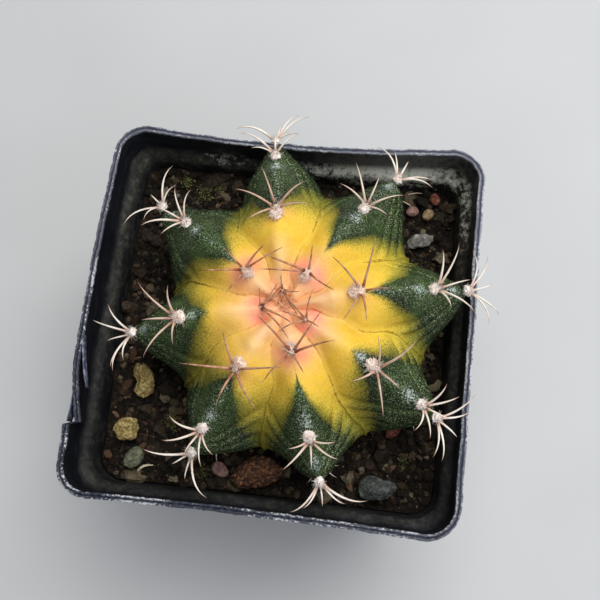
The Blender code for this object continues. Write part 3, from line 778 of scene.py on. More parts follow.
bm = bmesh.new()
bm.verts.layers.float.new("tone")
for start, end, thickness, arch in STRANDS:
    start, end = Vector((*start, 0)) * MM, Vector((*end, 0)) * MM
    lay_strand(bm, start, end, thickness * MM, arch * MM, 0.4 * MM, 0.95)
for _ in range(COIR_STRANDS):
    x, y = free_place(0)
    heading = scatter.uniform(0, math.tau)
    long = scatter.uniform(1.5, 4.5) * MM
    end = Vector((x, y, 0)) + Vector((math.cos(heading), math.sin(heading), 0)) * long
    if max(abs(end.x), abs(end.y)) < INNER_HALF - 2 * MM:
        bend = scatter.gauss(0, 0.7) * MM
        lay_strand(bm, Vector((x, y, 0)), end, 0.16 * MM, 0.3 * MM, bend, scatter.uniform(0.1, 0.6))
bmesh.ops.recalc_face_normals(bm, faces=bm.faces)
# Dead roots and straw are bone white to tan; coir is brown.
dead_fibre = grain_finish(
    "dead_fibre", 0.75, ((0.0, "#2A1C12"), (0.45, "#5C442E"), (0.7, "#A08A68"), (1.0, "#D8CDB8"))
)
fibres = finish_mesh("dead_fibres", bm, [dead_fibre], sharp=60)
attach(fibres, "root")


# Cactus body
# A chin cactus, one flattened globe of eight acute ribs, with a waxy skin. It is a variegated sport: its
# young tissue round the crown has no chlorophyll and is yellow to rose. Each rib's crest turns green with age.

MEAN_REACH = 30.5 * MM
# Each rib: compass bearing of its crest in degrees from +X towards +Y, reach from the axis, lift of its tip.
RIBS = {
    "north": (101, 33.4 * MM, 1.4 * MM),
    "northeast": (59, 31.9 * MM, 1.0 * MM),
    "east": (15, 31.4 * MM, 0.6 * MM),
    "southeast": (-28, 30.3 * MM, -0.4 * MM),
    "south": (-73, 28.1 * MM, -1.2 * MM),
    "southwest": (-120, 28.4 * MM, -1.4 * MM),
    "west": (-170, 28.4 * MM, -1.4 * MM),
    "northwest": (144, 31.9 * MM, 0.0),
}
# Profiles from the crown to the root, as (share of the reach, height): along a crest and along a furrow.
CREST = (
    (0.0, 76.0), (0.11, 77.6), (0.25, 78.6), (0.42, 78.1), (0.58, 76.1), (0.73, 73.3), (0.87, 70.4),
    (0.965, 67.9), (1.0, 64.8), (0.98, 61.0), (0.90, 57.4), (0.78, 54.2), (0.65, 51.2), (0.50, 46.0),
    (0.30, 39.0), (0.03, 33.0),
)
FURROW = (
    (0.0, 76.0), (0.10, 76.4), (0.22, 76.7), (0.36, 75.5), (0.49, 72.8), (0.60, 69.0), (0.69, 65.0),
    (0.75, 61.6), (0.775, 58.6), (0.77, 56.2), (0.73, 54.2), (0.69, 52.6), (0.63, 51.0), (0.50, 46.0),
    (0.30, 39.0), (0.03, 33.0),
)
CREST_ROUNDING = 0.14
FLANK_POWER = 1.3
TIP_SHARPNESS = 0.6  # added to the flank's power at the tip, which makes it a point from above
YOUNG_ROUNDING = 0.45
YOUNG_FLANK_POWER = 0.75
YOUNG_STATIONS = 8.5  # from the crown outward, over which a rib sharpens
TIP_STATION = 8
SOIL_STATION = 12
BURIED_FADE = 3
RING_SHARE = 0.985
# Distance from the plant's axis in mm of each rib's areoles that face up, from the crown outward. The last is
# at the rib's tip.
RING = None
AREOLE_PLACES = {
    "north": (2.6, 16, 28.6, RING),
    "northeast": (6.3, 21.8, RING),
    "east": (12.2, 25, RING),
    "southeast": (4.3, 17.4, 26.8, RING),
    "south": (7.6, 21, RING),
    "southwest": (12.2, 23.6, RING),
    "west": (3.6, 17.8, RING),
    "northwest": (8.2, 23.8, RING),
}
# Each rib's colours: where its crest turns green, in mm from the axis; how the edge of the green runs from
# there to the furrow on its anticlockwise and clockwise side, 1 straight, less for a narrow tongue and more
# for a blunt one; how far the yellow runs down its clockwise furrow, in mm from the axis; how rosy it is
# beside its first areole.
GREEN_TONGUES = {
    "north": (16.3, 1.7, 0.55, 20.0, 0.25),
    "northeast": (11.2, 0.85, 1.25, 23.5, 0.8),
    "east": (13.6, 0.8, 0.9, 22.3, 0.15),
    "southeast": (13.4, 1.5, 1.2, 19.8, 0.8),
    "south": (10.6, 0.48, 0.42, 17.2, 0.7),
    "southwest": (13.6, 0.75, 1.6, 16.2, 0.2),
    "west": (12.6, 1.9, 1.6, 17.8, 0.8),
    "northwest": (10.6, 1.0, 0.9, 18.0, 0.7),
}
# The chin at each areole, in mm: height of each swelling or dent, how far down the rib it is, its length, how
# far off the crest it is, its width.
CHIN_SHAPE = (
    (0.55, 2.2, 1.9, 0, 2.4),
    (0.25, -0.3, 3.2, 2.0, 2.6),
    (-0.15, -0.1, 1.0, 0, 1.2),
    (-0.32, -4.0, 0.9, 0, 2.0),
)
BODY_COLUMNS = 22  # on each flank of a rib
BODY_ROWS = 196
FINE_ROWS = 168  # of them above the soil line
HALVINGS = 30


def through(profile, station):
    """A smooth curve through a profile's points: the share of the reach and the height in metres."""
    last = len(profile) - 1
    low = min(int(station), last - 1)
    share = station - low
    before, start, end, after = (Vector(profile[min(max(low + step, 0), last)]) for step in (-1, 0, 1, 2))
    if low == 0:
        before = Vector((-end.x, end.y))
    rise, fall = (end - before) / 2, (after - start) / 2
    square, cube = share**2, share**3
    point = start * (
        2 * cube - 3 * square + 1
    ) + rise * (cube - 2 * square + share) + end * (3 * square - 2 * cube) + fall * (cube - square)
    return point.x, point.y * MM


RIB_NAMES = list(RIBS)


def rib_at(azimuth):
    """The ribs either side of an azimuth, the angle between them and the share of it crossed, clockwise."""
    degrees = math.degrees(azimuth)
    for rib, following in zip(RIB_NAMES, RIB_NAMES[1:] + RIB_NAMES[:1]):
        step = (RIBS[rib][0] - RIBS[following][0]) % 360
        offset = (RIBS[rib][0] - degrees) % 360
        if offset <= step:
            return rib, following, step, offset / step
    raise ValueError("the ribs go all the way round")


def flank(away, station):
    """Height of the rib's flank between its furrow, 0, and its crest, 1. A young rib is rounder."""
    young = smooth_step(1 - station / YOUNG_STATIONS)
    rounding = CREST_ROUNDING + (YOUNG_ROUNDING - CREST_ROUNDING) * young
    power = FLANK_POWER + (YOUNG_FLANK_POWER - FLANK_POWER) * young
    power += TIP_SHARPNESS * math.exp(-(((station - TIP_STATION) / 2) ** 2))
    rounded = math.sqrt(away * away + rounding**2) - rounding
    rounded /= math.sqrt(1 + rounding**2) - rounding
    return (1 - min(rounded, 1)) ** power


def body_point(azimuth, station):
    rib, following, _, share = rib_at(azimuth)
    mix = smooth_step(share)
    reach = RIBS[rib][1] + (RIBS[following][1] - RIBS[rib][1]) * mix
    lift = RIBS[rib][2] + (RIBS[following][2] - RIBS[rib][2]) * mix
    crest_share, crest_height = through(CREST, station)
    furrow_share, furrow_height = through(FURROW, station)
    buried = smooth_step((station - SOIL_STATION + BURIED_FADE) / BURIED_FADE)
    reach += (MEAN_REACH - reach) * buried
    height_share = flank(1 - abs(2 * share - 1), station)
    distance = reach * (furrow_share + (crest_share - furrow_share) * height_share)
    height = furrow_height + (crest_height - furrow_height) * height_share
    height += lift * (1 - buried) * min(distance / MEAN_REACH, 1)
    return Vector(
        (PLANT_AXIS[0] + distance * math.cos(azimuth), PLANT_AXIS[1] + distance * math.sin(azimuth), height)
    )


def areole_distances(rib):
    """Distances from the axis of a rib's areoles, in mm."""
    return [RING_SHARE * RIBS[rib][1] / MM if place is RING else place for place in AREOLE_PLACES[rib]]


CHINS = {rib: areole_distances(rib) for rib in RIBS}


def swelling(rib, distance):
    """How much a rib's chin-like tubercles swell sideways at a distance from the axis in mm."""
    return max(bell(distance - place, 3.2) for place in CHINS[rib])


bm = bmesh.new()
around = 2 * BODY_COLUMNS * len(RIBS)
bmesh.ops.create_uvsphere(bm, u_segments=around, v_segments=BODY_ROWS, radius=1)
TRAITS = ("greening", "from_crown", "blush", "scurf", "furrow", "furrow_shade", "crest_highlight", "pleat", "fold_shade")
traits = {name: bm.verts.layers.float.new(name) for name in TRAITS}
COLUMN_CROWDING = 0.115  # of the columns, towards the crest and the furrow
CREASE_DEPTH = 0.5  # mm, along the bottom of a furrow
BULB_HEIGHT = 0.6  # mm, of the green bulb under the tip's own spine cushion
SIDEWAYS = 0.8  # mm by which a tubercle pushes the furrow beside it towards the next rib
PLEAT_START = 8.15  # station of the first pleat's valley at the crest
PLEATS = 4.3
PLEAT_HEIGHT = 1.15  # mm
last_station = len(CREST) - 1
tips = {rib: body_point(math.radians(RIBS[rib][0]), TIP_STATION - 0.35) for rib in RIBS}
KNOB_RADIUS = 1.7  # mm, of a round knob beside the northwest rib's tip
KNOB_HEIGHT = 1.2  # mm
knob_at = tips["northwest"] + Vector((2.1, 0.0, 0)) * MM
relief_of = {}
for vert in bm.verts:
    row = round(math.acos(max(min(vert.co.z, 1), -1)) / math.pi * BODY_ROWS)
    column = round(math.atan2(vert.co.y, vert.co.x) / math.tau * around) % around
    if row <= FINE_ROWS:
        station = SOIL_STATION * row / FINE_ROWS
    else:
        station = SOIL_STATION + (last_station - SOIL_STATION) * (row - FINE_ROWS) / (BODY_ROWS - FINE_ROWS)
    # Columns crowd towards the crest and the furrow, where the detail is.
    rib_index, within_rib = divmod(column, 2 * BODY_COLUMNS)
    rib = RIB_NAMES[rib_index]
    following = RIB_NAMES[(rib_index + 1) % len(RIBS)]
    step = (RIBS[rib][0] - RIBS[following][0]) % 360
    even = within_rib / BODY_COLUMNS
    share = (even - COLUMN_CROWDING * math.sin(math.tau * even)) / 2
    azimuth = math.radians(RIBS[rib][0] - step * share)
    away = 1 - abs(2 * share - 1)
    nearest = rib if share < 0.5 else following
    point = body_point(azimuth, station)
    distance = math.hypot(point.x - PLANT_AXIS[0], point.y - PLANT_AXIS[1]) / MM
    half_width = math.radians(step) / 2 * distance  # of the rib, from crest to furrow, in mm
    from_furrow = (1 - away) * half_width
    from_crest = away * half_width
    # The furrow winds between the tubercles on either side of it.
    push = SIDEWAYS * (swelling(rib, distance) - swelling(following, distance))
    push += 0.7 * noise.noise(Vector((distance * 0.28, rib_index * 5.3, 0)))
    turned = math.radians(-push / max(distance, 3) * 57.3) * smooth_step(away) * smooth_step(distance / 6)
    upper = smooth_step((SOIL_STATION - 1 - station) / 2)
    point = body_point(azimuth, station)
    offset = point - Vector((*PLANT_AXIS, 0))
    point = Matrix.Rotation(turned * upper, 3, "Z") @ offset + Vector((*PLANT_AXIS, 0))
    vert.co = point
    # Relief, in mm along the surface's normal.
    rise = 0.0
    for place in CHINS[nearest]:
        ahead = distance - place if station <= TIP_STATION + 0.2 else 4 + station - TIP_STATION
        for height, down_rib, length, off_crest, width in CHIN_SHAPE:
            rise += height * bell(ahead - down_rib, length) * bell(from_crest - off_crest, width)
    rise -= CREASE_DEPTH * (bell(from_furrow, 0.36) * smooth_step((distance - 3) / 10))
    # Pleats fan out from the tip of the rib to its furrows: sharp valleys between round ridges.
    phase = (PLEAT_START - 0.5 * away - station) / (0.42 + 0.5 * away)
    weight = smooth_step(phase * 5) * smooth_step(PLEATS - phase) * smooth_step(away * 4.5)
    weight *= smooth_step((1 - away) * 3 + 0.1)
    pleat = abs(math.sin(math.pi * phase)) * weight
    # The valleys also take painted shade in the colour.
    valley = bell(phase - round(phase), 0.14) * weight
    rise += PLEAT_HEIGHT * (pleat - 0.4 * weight)
    rise += BULB_HEIGHT * bell((point - tips[nearest]).length / MM, 1.6)
    from_knob = (point - knob_at).xy.length / MM + 9 * smooth_step(station - TIP_STATION - 1)
    rise += KNOB_HEIGHT * math.sqrt(max(0, 1 - (from_knob / KNOB_RADIUS) ** 2))
    rise += 0.22 * noise.noise(point / (6 * MM)) + 0.07 * noise.noise(point / (1.6 * MM))
    relief_of[vert] = rise * upper * smooth_step(distance / 2)
    # Traits that the colour follows.
    tongue, left_power, right_power, _, rosiness = GREEN_TONGUES[nearest]
    power = right_power if nearest == rib else left_power
    edge_of_green = tongue + (GREEN_TONGUES[rib][3] - tongue) * away**power
    edge_of_green += 1.8 * noise.noise(point / (5 * MM)) * smooth_step(away * 2)
    edge_of_green += 2.2 * (pleat - 0.65 * weight) + 1.6 * away  # the yellow runs out along the pleats
    softness = 0.8 + 6.0 * away**1.4
    first = next(place for place in CHINS[nearest] if place > 3.3)
    rosy = bell(distance - first - 0.9, 1.9) * bell(from_crest - 1.4, 1.5)
    bloom = max(bell(distance - place + 2.5, 1.6) * bell(from_crest, 1.3) for place in CHINS[nearest])
    looks = {
        "greening": (distance - edge_of_green) / softness if station < 9 else 4.0,
        "from_crown": distance,
        "blush": rosiness * rosy,
        "scurf": max(0.72 * bloom, 0.3 * bell(from_crest, 0.9)),
        "furrow": bell(from_furrow, 0.15) * smooth_step((distance - 4) / 5),
        "furrow_shade": bell(from_furrow, 1.7) * smooth_step((distance - 5) / 9),
        "crest_highlight": bell(from_crest, 1.3)
        * smooth_step((distance - 3) / 3)
        * (1 - 0.9 * smooth_step((distance - 6) / 7)),
        "pleat": pleat,
        "fold_shade": max(valley, bell(from_knob - KNOB_RADIUS, 0.3)),
    }
    for name, layer in traits.items():
        vert[layer] = looks[name]
bmesh.ops.recalc_face_normals(bm, faces=bm.faces)
bm.normal_update()
for vert, rise in relief_of.items():
    vert.co += vert.normal * rise * MM
bm.normal_update()

# Living skin: a waxy cuticle over cells that let a little light in. Pale pinhead dots, finer than this on the
# plant and drawn as coarse as they need to show, crowd on the green; frosty scurf lies along the crests.
skin, tree, shader = new_finish(
    "cactus_epidermis", 0.58, Subsurface_Weight=0.06, Subsurface_Radius=(1.0, 0.5, 0.2),
    Subsurface_Scale=1.2 * MM, Specular_IOR_Level=0.26,
)
place = add_node(tree, "TexCoord", output="Object")
trait = {name: add_node(tree, "Attribute", output="Fac", attribute_name=name) for name in traits}
broad = add_node(tree, "TexNoise", place, 1 / (5 * MM), 4.0)
fine = add_node(tree, "TexNoise", place, 1 / (0.9 * MM), 5.0, 0.6)
cells = add_node(tree, "TexVoronoi", place, 1 / (0.27 * MM))
dots = add_node(tree, "MapRange", cells, 0.46, 0.22)
# Yellow tissue, peach at the crown and greener outwards.
ripening = add_node(tree, "Math", broad, 7.0, trait["from_crown"], operation="MULTIPLY_ADD")
ripening = add_node(tree, "MapRange", ripening, 3.5, 31.5)
ripe_stops = (
    (0.0, "#FEBE9A"), (0.16, "#FBC490"), (0.30, "#E9BC60"), (0.44, "#E8BE3C"), (0.66, "#EAC93C"),
    (0.84, "#E0CE4A"), (1.0, "#AEAA46"),
)
rose = add_node(tree, "ValToRGB", ripening, stops=ripe_stops)
gold_share = add_node(tree, "MapRange", fine, 0.42, 0.72, 0.0, 0.22)
# Painted highlight: a pale cream band along each crest near the crown.
crest_highlight_share = add_node(tree, "Math", trait["crest_highlight"], 0.4, operation="MULTIPLY")
# Painted shade: the yellow is darkened towards olive-gold along the furrows.
furrow_shade_share = add_node(tree, "Math", trait["furrow_shade"], broad, operation="MULTIPLY")
furrow_shade_share = add_node(tree, "Math", furrow_shade_share, 0.35, operation="MULTIPLY")
stipple = add_node(tree, "Math", dots, 0.16, operation="MULTIPLY")
for share, layer in (
    (gold_share, "#D99A24"), (crest_highlight_share, "#F9CDAC"), (furrow_shade_share, "#BCA634"), (trait["blush"], "#F88A80"),
    (stipple, "#FFF0C0"),
):
    rose = add_node(tree, "Mix", share, rose, layer, data_type="RGBA")
# Green tissue, with a painted highlight on the ridges of the pleats and fewer dots near its edge. Its scurf is
# white specks, as dense as the trait.
green = add_node(tree, "ValToRGB", broad, stops=((0.3, "#111C07"), (0.5, "#1F310F"), (0.7, "#354C1C")))
ridge_highlight_share = add_node(tree, "Math", trait["pleat"], 0.2, operation="MULTIPLY")
dot_share = add_node(tree, "MapRange", fine, 0.3, 0.7, 0.18, 0.5)
dot_share = add_node(tree, "Math", trait["pleat"], 0.5, dot_share, operation="MULTIPLY_ADD")
away_from_edge = add_node(tree, "MapRange", trait["greening"], 0.4, 2.6, 0.2)
dot_share = add_node(tree, "Math", away_from_edge, dot_share, operation="MULTIPLY")
dot_share = add_node(tree, "Math", dots, dot_share, operation="MULTIPLY", use_clamp=True)
frost = add_node(tree, "TexNoise", place, 1 / (0.33 * MM), 3.0, 0.7)
frost_share = add_node(tree, "Math", trait["scurf"], 0.3, frost, operation="MULTIPLY_ADD")
frost_share = add_node(tree, "MapRange", frost_share, 0.64, 0.78)
for share, layer in ((ridge_highlight_share, "#5C6C46"), (dot_share, "#B6C898"), (frost_share, "#B2C1BC")):
    green = add_node(tree, "Mix", share, green, layer, data_type="RGBA")
# The edge between them goes through olive, ragged by a cell or two. Over both come corky brown lines, with
# specks, in the bottoms of the furrows, and near-black painted shade in the valleys of the pleats under the
# tips and in a ring round the knob.
ragged = add_node(tree, "Math", cells, 0.9, -0.4, operation="MULTIPLY_ADD")
greened = add_node(tree, "MapRange", add_node(tree, "Math", trait["greening"], ragged), -1.0, 1.0)
olive = add_node(tree, "Mix", 0.6, rose, "#6F7A2A", data_type="RGBA")
early = add_node(tree, "MapRange", greened, 0.0, 0.5)
late = add_node(tree, "MapRange", greened, 0.3, 1.0)
corky = add_node(tree, "MapRange", fine, 0.4, 0.66, 0.05, 0.8)
corky = add_node(tree, "Math", corky, trait["furrow"], operation="MULTIPLY")
# Painted shade: the pleat valleys and a ring round the knob are darkened on the green.
painted_fold_shade = add_node(tree, "Math", trait["fold_shade"], greened, operation="MULTIPLY")
painted_fold_shade = add_node(tree, "Math", painted_fold_shade, 0.85, operation="MULTIPLY")
colour = rose
for share, layer in ((early, olive), (late, green), (corky, "#6A4A1C"), (painted_fold_shade, "#0E1808")):
    colour = add_node(tree, "Mix", share, colour, layer, data_type="RGBA")
papillae = add_node(tree, "Math", cells, fine, operation="SUBTRACT")
relief = add_node(tree, "Bump", 0.7, 0.05 * MM, None, papillae)
wire(tree, shader, Base_Color=colour, Normal=relief)

body = finish_mesh("cactus_globe", bm, [skin])
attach(body, "root")
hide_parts("cactus_body")


# Areoles
# The spine cushions along each crest: a ball of felted cream wool on its inner side, and stiff spines, each a
# tapered awl on a dark swollen base, fanning out of its outer side. They grow on the body, with no joint.

# Each rib's areoles as in AREOLE_PLACES: its spines as (bearing, length in mm). The bearing is from straight
# down the rib, in degrees, positive anticlockwise seen from above.
SPINES = {
    "north": (
        ((0, 2.5), (120, 3), (-110, 3), (-148, 6), (-156, 4.5), (128, 3.5)),
        ((-110, 6), (-60, 6), (15, 6.5), (70, 7), (125, 6)),
        ((-60, 5), (-5, 3), (55, 6.5), (85, 4)),
        ((-95, 4.5), (-60, 7), (-40, 6), (-20, 3), (60, 6), (70, 7)),
    ),
    "northeast": (
        ((-100, 6), (15, 4), (110, 7.5), (130, 8)),
        ((-90, 4.5), (-45, 6), (10, 5), (55, 7), (95, 5.5)),
        ((-75, 6), (-55, 5.5), (10, 4), (45, 5.5), (70, 6.5)),
    ),
    "east": (
        ((-125, 6.5), (-90, 5.5), (-5, 4.5), (65, 8.5), (125, 7)),
        ((-70, 4), (-50, 7), (5, 5), (55, 7.5), (80, 6)),
        ((-75, 6.5), (-50, 6), (5, 4), (50, 6.5), (75, 6.5)),
    ),
    "southeast": (
        ((-120, 5), (0, 3), (110, 5), (-163, 4), (165, 3.5)),
        ((-115, 5.5), (-55, 7.5), (-10, 4.5), (65, 7.5), (120, 5.5)),
        ((-75, 4.5), (-45, 5), (5, 4), (50, 5.5), (75, 5)),
        ((-65, 6), (-50, 6.5), (-5, 4), (45, 5), (65, 7)),
    ),
    "south": (
        ((-150, 8), (-55, 7), (20, 4), (90, 7.5), (125, 8)),
        ((-85, 3.5), (-55, 6), (-5, 4), (45, 5), (80, 4)),
        ((-60, 6.5), (-40, 4.5), (0, 3.5), (40, 5), (60, 8)),
    ),
    "southwest": (
        ((-130, 6.5), (-60, 8.5), (10, 6), (65, 8), (125, 8.5)),
        ((-80, 5.5), (-35, 6), (0, 4), (40, 5.5), (70, 4.5)),
        ((-60, 8), (-30, 3.5), (20, 4), (60, 7.5)),
    ),
    "west": (
        ((125, 8), (145, 6.5), (-90, 3), (-144, 5.2), (-137, 4.6)),
        ((-85, 5), (-45, 8), (0, 5), (55, 8), (95, 5)),
        ((-50, 6.5), (-25, 8), (10, 4.5), (55, 6.5), (65, 7), (80, 5)),
    ),
    "northwest": (
        ((-120, 7.5), (-90, 5), (0, 4.5), (60, 7), (110, 5.5)),
        ((-60, 5), (-30, 5.5), (15, 5), (55, 7), (90, 4.5)),
        ((-90, 4.5), (-60, 7.5), (-5, 3.5), (75, 7.5), (100, 5)),
    ),
}
UNDER_STATION = 10.7  # the older areole under each rib's tip, its spines worn short
UNDER_SPINES = ((-70, 3.5), (-40, 4), (0, 2.5), (40, 4), (70, 3.5))
CREST_STEP = 0.05
SPINE_LIFT = 27
SLOPE_FOLLOWED = 0.6
SLOPE_EASING = 0.2
SPINE_BEND = 0.14
SPINE_SIDES = 7
# Along a spine: share of its length and share of its base radius. The swollen base comes first.
SPINE_SHAPE = (
    (0.0, 1.0), (0.035, 1.35), (0.08, 1.05), (0.16, 0.9), (0.28, 0.86), (0.42, 0.76), (0.56, 0.64),
    (0.7, 0.5), (0.82, 0.36), (0.92, 0.22), (1.0, 0.05),
)
WOOL_RADIUS = 1.08 * MM
YOUNG_WOOL_RADIUS = 0.6 * MM
YOUNG_DISTANCE = 5  # mm from the axis
WOOL_HAIRS = 170
WOOL_STRETCH = (1.1, 0.92, 0.74)  # down the rib, across it and off it
WOOL_CORE = 0.79  # of the cushion's radius, the rest being hair
HAIR_FOOT = 0.58  # of the cushion's radius, where a hair starts
SPINE_RADIUS = 0.225 * MM
growth = random.Random(5)


def crest_station(distance, reach):
    """The station, above the rib's tip, where the crest is this far from the plant's axis."""
    low, high = 0, TIP_STATION
    for _ in range(HALVINGS):
        middle = (low + high) / 2
        if through(CREST, middle)[0] * reach < distance:
            low = middle
        else:
            high = middle
    return low


def crest_frame(azimuth, station):
    """A point on a crest, the crest's outward normal there, and its direction down the rib."""
    above, below = (body_point(azimuth, station + step) for step in (-CREST_STEP, CREST_STEP))
    down = (below - above).normalized()
    side = Vector((-math.sin(azimuth), math.cos(azimuth), 0))
    return body_point(azimuth, station), down.cross(side).normalized(), down


def spine_direction(azimuth, down, bearing):
    """Level bearing of a spine, pitched to follow part of the crest's slope and to stand off it."""
    slope = math.atan2(-down.z, math.hypot(down.x, down.y))
    turn = math.radians(bearing)
    fall = math.atan2(math.sin(slope) * math.cos(turn), abs(math.cos(slope)) + SLOPE_EASING)
    pitch = math.radians(SPINE_LIFT) - SLOPE_FOLLOWED * fall
    level = azimuth + turn
    return Vector((math.cos(level) * math.cos(pitch), math.sin(level) * math.cos(pitch), math.sin(pitch)))


def grow_spine(bm, root, direction, length, base_radius, sag, lean, age):
    """One spine: a circle drawn out ring by ring along a slightly bowed line, closed at its tip."""
    along_layer, age_layer = bm.verts.layers.float["along"], bm.verts.layers.float["age"]
    ring = bmesh.ops.create_circle(bm, cap_ends=True, segments=SPINE_SIDES, radius=base_radius)["verts"]
    face = ring[0].link_faces[0]
    offsets = [vert.co.copy() for vert in ring]
    turn = Vector((0, 0, 1)).rotation_difference(direction)
    for step, (share, width) in enumerate(SPINE_SHAPE):
        if step:
            face = bmesh.ops.extrude_discrete_faces(bm, faces=[face])["faces"][0]
            ring = list(face.verts)
        bow = length * (1 - (2 * share - 1) ** 2)
        centre = root + direction * length * share + sag * bow + lean * length * share**2
        for vert, offset in zip(ring, offsets):
            vert.co = centre + turn @ offset * width
            vert[along_layer] = share
            vert[age_layer] = age


def grow_wool(bm, centre, normal, crownward, radius, hairs, age):
    """A felted ball of wool: a lumpy cushion bristling with short fine hairs."""
    age_layer = bm.verts.layers.float["age"]
    basis = Matrix((crownward, normal.cross(crownward), normal)).transposed()
    cushion = bmesh.ops.create_icosphere(bm, subdivisions=4, radius=1)["verts"]
    seed = centre / MM
    for vert in cushion:
        lumps = 1 + 0.36 * noise.noise(vert.co * 1.5 + seed) + 0.2 * noise.noise(vert.co * 3.7 + seed)
        lumps += 0.2 * noise.noise(vert.co * 10 + seed)
        stretched = Vector([value * stretch for value, stretch in zip(vert.co, WOOL_STRETCH)])
        vert.co = centre + basis @ (stretched * radius * WOOL_CORE * lumps)
        vert[age_layer] = age
    bottoms = []
    for _ in range(hairs):
        out = Vector([growth.gauss(0, 1) for _ in range(3)]).normalized()
        out = (out + normal * 0.75 + crownward * 0.25).normalized()
        tangent = Vector([growth.gauss(0, 1) for _ in range(3)])
        comb = (out + tangent * 0.42).normalized()
        long = radius * (0.25 + 0.75 * growth.uniform(0, 1) ** 2)
        foot = centre + out * radius * HAIR_FOOT
        bottoms.append((foot, comb, long))
    for foot, comb, long in bottoms:
        hair = bmesh.ops.create_cone(
            bm, segments=3, radius1=radius * 0.04, radius2=radius * 0.01, depth=long,
            matrix=Matrix.Translation(
                foot + comb * long / 2
            ) @ Vector((0, 0, 1)).rotation_difference(comb).to_matrix().to_4x4(),
        )["verts"]
        for vert in hair:
            vert[age_layer] = age


# Wool: fine matted hair, cream, a little pink on the young ones. It scatters light softly, with some sheen.
wool, tree, shader = new_finish(
    "areole_wool", 0.95, Sheen_Weight=0.2, Specular_IOR_Level=0.15, Subsurface_Weight=0.3,
    Subsurface_Radius=(1.0, 0.8, 0.7), Subsurface_Scale=0.5 * MM,
)
place = add_node(tree, "TexCoord", output="Object")
matted = add_node(tree, "TexNoise", place, 1 / (0.45 * MM), 4.0)
cream = add_node(tree, "ValToRGB", matted, stops=((0.3, "#DEC2B4"), (0.46, "#F6E6DE"), (0.62, "#FFFCF9")))
wool_age = add_node(tree, "Attribute", output="Fac", attribute_name="age")
youth = add_node(tree, "MapRange", wool_age, 0.0, 0.7, 0.75, 0.0)
cream = add_node(tree, "Mix", youth, cream, "#F8D8C6", data_type="RGBA")
relief = add_node(tree, "Bump", None, 0.07 * MM, None, matted)
wire(tree, shader, Base_Color=cream, Normal=relief)
# Spine: horny, with a dull polish. The base is dark red, the shaft goes from mauve-brown when young to bone
# white with rusty streaks when old, and the tip stays brown.
horn, tree, shader = new_finish("spine_horn", 0.45, Specular_IOR_Level=0.3)
place = add_node(tree, "TexCoord", output="Object")
share_along = add_node(tree, "Attribute", output="Fac", attribute_name="along")
years = add_node(tree, "Attribute", output="Fac", attribute_name="age")
streaked = add_node(tree, "TexNoise", place, 1 / (1.1 * MM), 3.0)
young = add_node(
    tree, "ValToRGB", share_along,
    stops=((0.0, "#521A0E"), (0.09, "#8E4A30"), (0.3, "#B67E5C"), (0.65, "#88503A"), (1.0, "#4C261C")),
)
old = add_node(
    tree, "ValToRGB", share_along,
    stops=((0.0, "#6A2A20"), (0.08, "#D9BEAE"), (0.3, "#F8F4EE"), (0.76, "#EFE3D6"), (1.0, "#8E5242")),
)
pith = add_node(tree, "MapRange", streaked, 0.42, 0.62, 0.0, 0.55)
young = add_node(tree, "Mix", pith, young, "#D8B090", data_type="RGBA")
rust = add_node(tree, "MapRange", streaked, 0.54, 0.68, 0.0, 0.3)
old = add_node(tree, "Mix", rust, old, "#A87458", data_type="RGBA")
horn_colour = add_node(tree, "Mix", years, young, old, data_type="RGBA")
wire(tree, shader, Base_Color=horn_colour)


def make_areole(node, centre, normal, down, spines, radius, age, hairs):
    """One areole; spines are (direction, length in mm)."""
    bm = bmesh.new()
    for layer in ("along", "age"):
        bm.verts.layers.float.new(layer)
    grow_wool(bm, centre - down * radius * 0.3, normal, -down, radius, hairs, age)
    wool_faces = len(bm.faces)
    for direction, length in spines:
        outward = (direction - normal * (direction @ normal)).normalized()
        root = centre + down * radius * 0.34 + outward * radius * 0.42 + normal * radius * 0.28
        side = direction.cross(normal).normalized()
        thick = SPINE_RADIUS * (0.75 + 0.035 * length) * growth.uniform(0.88, 1.12)
        sag = normal * SPINE_BEND * growth.uniform(0.6, 1.3)
        lean = side * growth.gauss(0, 0.07)
        grow_spine(bm, root, direction, length * MM, thick, sag, lean, age * growth.uniform(0.85, 1))
    for index, face in enumerate(bm.faces):
        face.material_index = 0 if index < wool_faces else 1
    bmesh.ops.recalc_face_normals(bm, faces=bm.faces)
    areole = finish_mesh(node + "_wool_and_spines", bm, [wool, horn])
    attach(areole, "root")
    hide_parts(node)


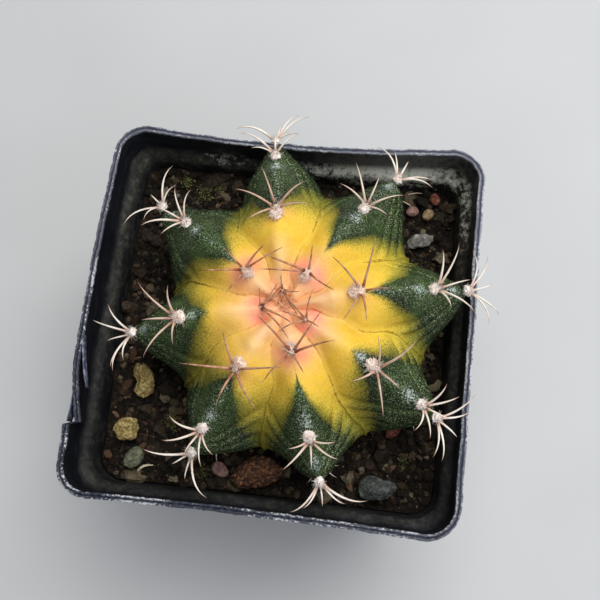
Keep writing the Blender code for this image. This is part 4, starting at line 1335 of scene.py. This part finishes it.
for rib, (bearing, reach, _) in RIBS.items():
    azimuth = math.radians(bearing)
    grown = [
        (crest_station(place * MM, reach), place, spines)
        for place, spines in zip(CHINS[rib], SPINES[rib])
    ]
    grown.append((UNDER_STATION, reach / MM, UNDER_SPINES))
    for number, (station, distance, spines) in enumerate(grown, start=1):
        point, normal, down = crest_frame(azimuth, station)
        young_one = distance < YOUNG_DISTANCE
        radius = YOUNG_WOOL_RADIUS if young_one else WOOL_RADIUS * (1 + 0.35 * bell(distance - 15, 6))
        age = smooth_step((distance - 9) / 20)
        centre = point + normal * radius * 0.22
        aimed = [(spine_direction(azimuth, down, turn), length) for turn, length in spines]
        make_areole(f"areole_{rib}_{number}", centre, normal, down, aimed, radius, age, WOOL_HAIRS)


# Crown tuft
# The newest spines, still packed together between the three youngest areoles: a tangle of thin hooked tan
# spines in a wisp of wool, over the growing point.

TUFT_SPINES = 34
TUFT_SPINE_RADIUS = 0.065 * MM
TUFT_PLACES = ((-2.9, 0.9), (0.4, 2.5), (2.9, -0.9), (0.0, 0.0), (1.2, 0.8), (-1.2, 0.9))  # mm from the axis
# Young horn: translucent tan, with a brown tip and a dark base.
young_horn, tree, shader = new_finish("young_spine_horn", 0.45)
share_along = add_node(tree, "Attribute", output="Fac", attribute_name="along")
tan = add_node(
    tree, "ValToRGB", share_along,
    stops=((0.0, "#8A5230"), (0.2, "#BC8656"), (0.6, "#C89664"), (1.0, "#744430")),
)
wire(tree, shader, Base_Color=tan)
bm = bmesh.new()
for layer in ("along", "age"):
    bm.verts.layers.float.new(layer)
crown = Vector((*PLANT_AXIS, CREST[0][1] * MM))
for number in range(TUFT_SPINES):
    place = TUFT_PLACES[number % len(TUFT_PLACES)]
    root = crown + Vector((place[0] + growth.gauss(0, 0.5), place[1] + growth.gauss(0, 0.4), 0.5)) * MM
    inward = Vector((*PLANT_AXIS, root.z)) - root
    inward = inward.normalized() if inward.length > 0.3 * MM else Vector()
    direction = (
        inward * 0.8 + Vector((growth.gauss(0, 0.7), growth.gauss(0, 0.5), growth.uniform(0.4, 1.1)))
    ).normalized()
    side = direction.cross(Vector((0, 0, 1))).normalized()
    grow_spine(
        bm, root, direction, growth.uniform(1.0, 2.2) * MM, TUFT_SPINE_RADIUS,
        Vector((0, 0, 1)) * growth.uniform(0.05, 0.25), side * growth.gauss(0, 0.4) - Vector((0, 0, 0.3)),
        growth.uniform(0, 0.35),
    )
bmesh.ops.recalc_face_normals(bm, faces=bm.faces)
tuft = finish_mesh("crown_tuft_spines", bm, [young_horn])
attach(tuft, "root")
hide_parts("crown_tuft")
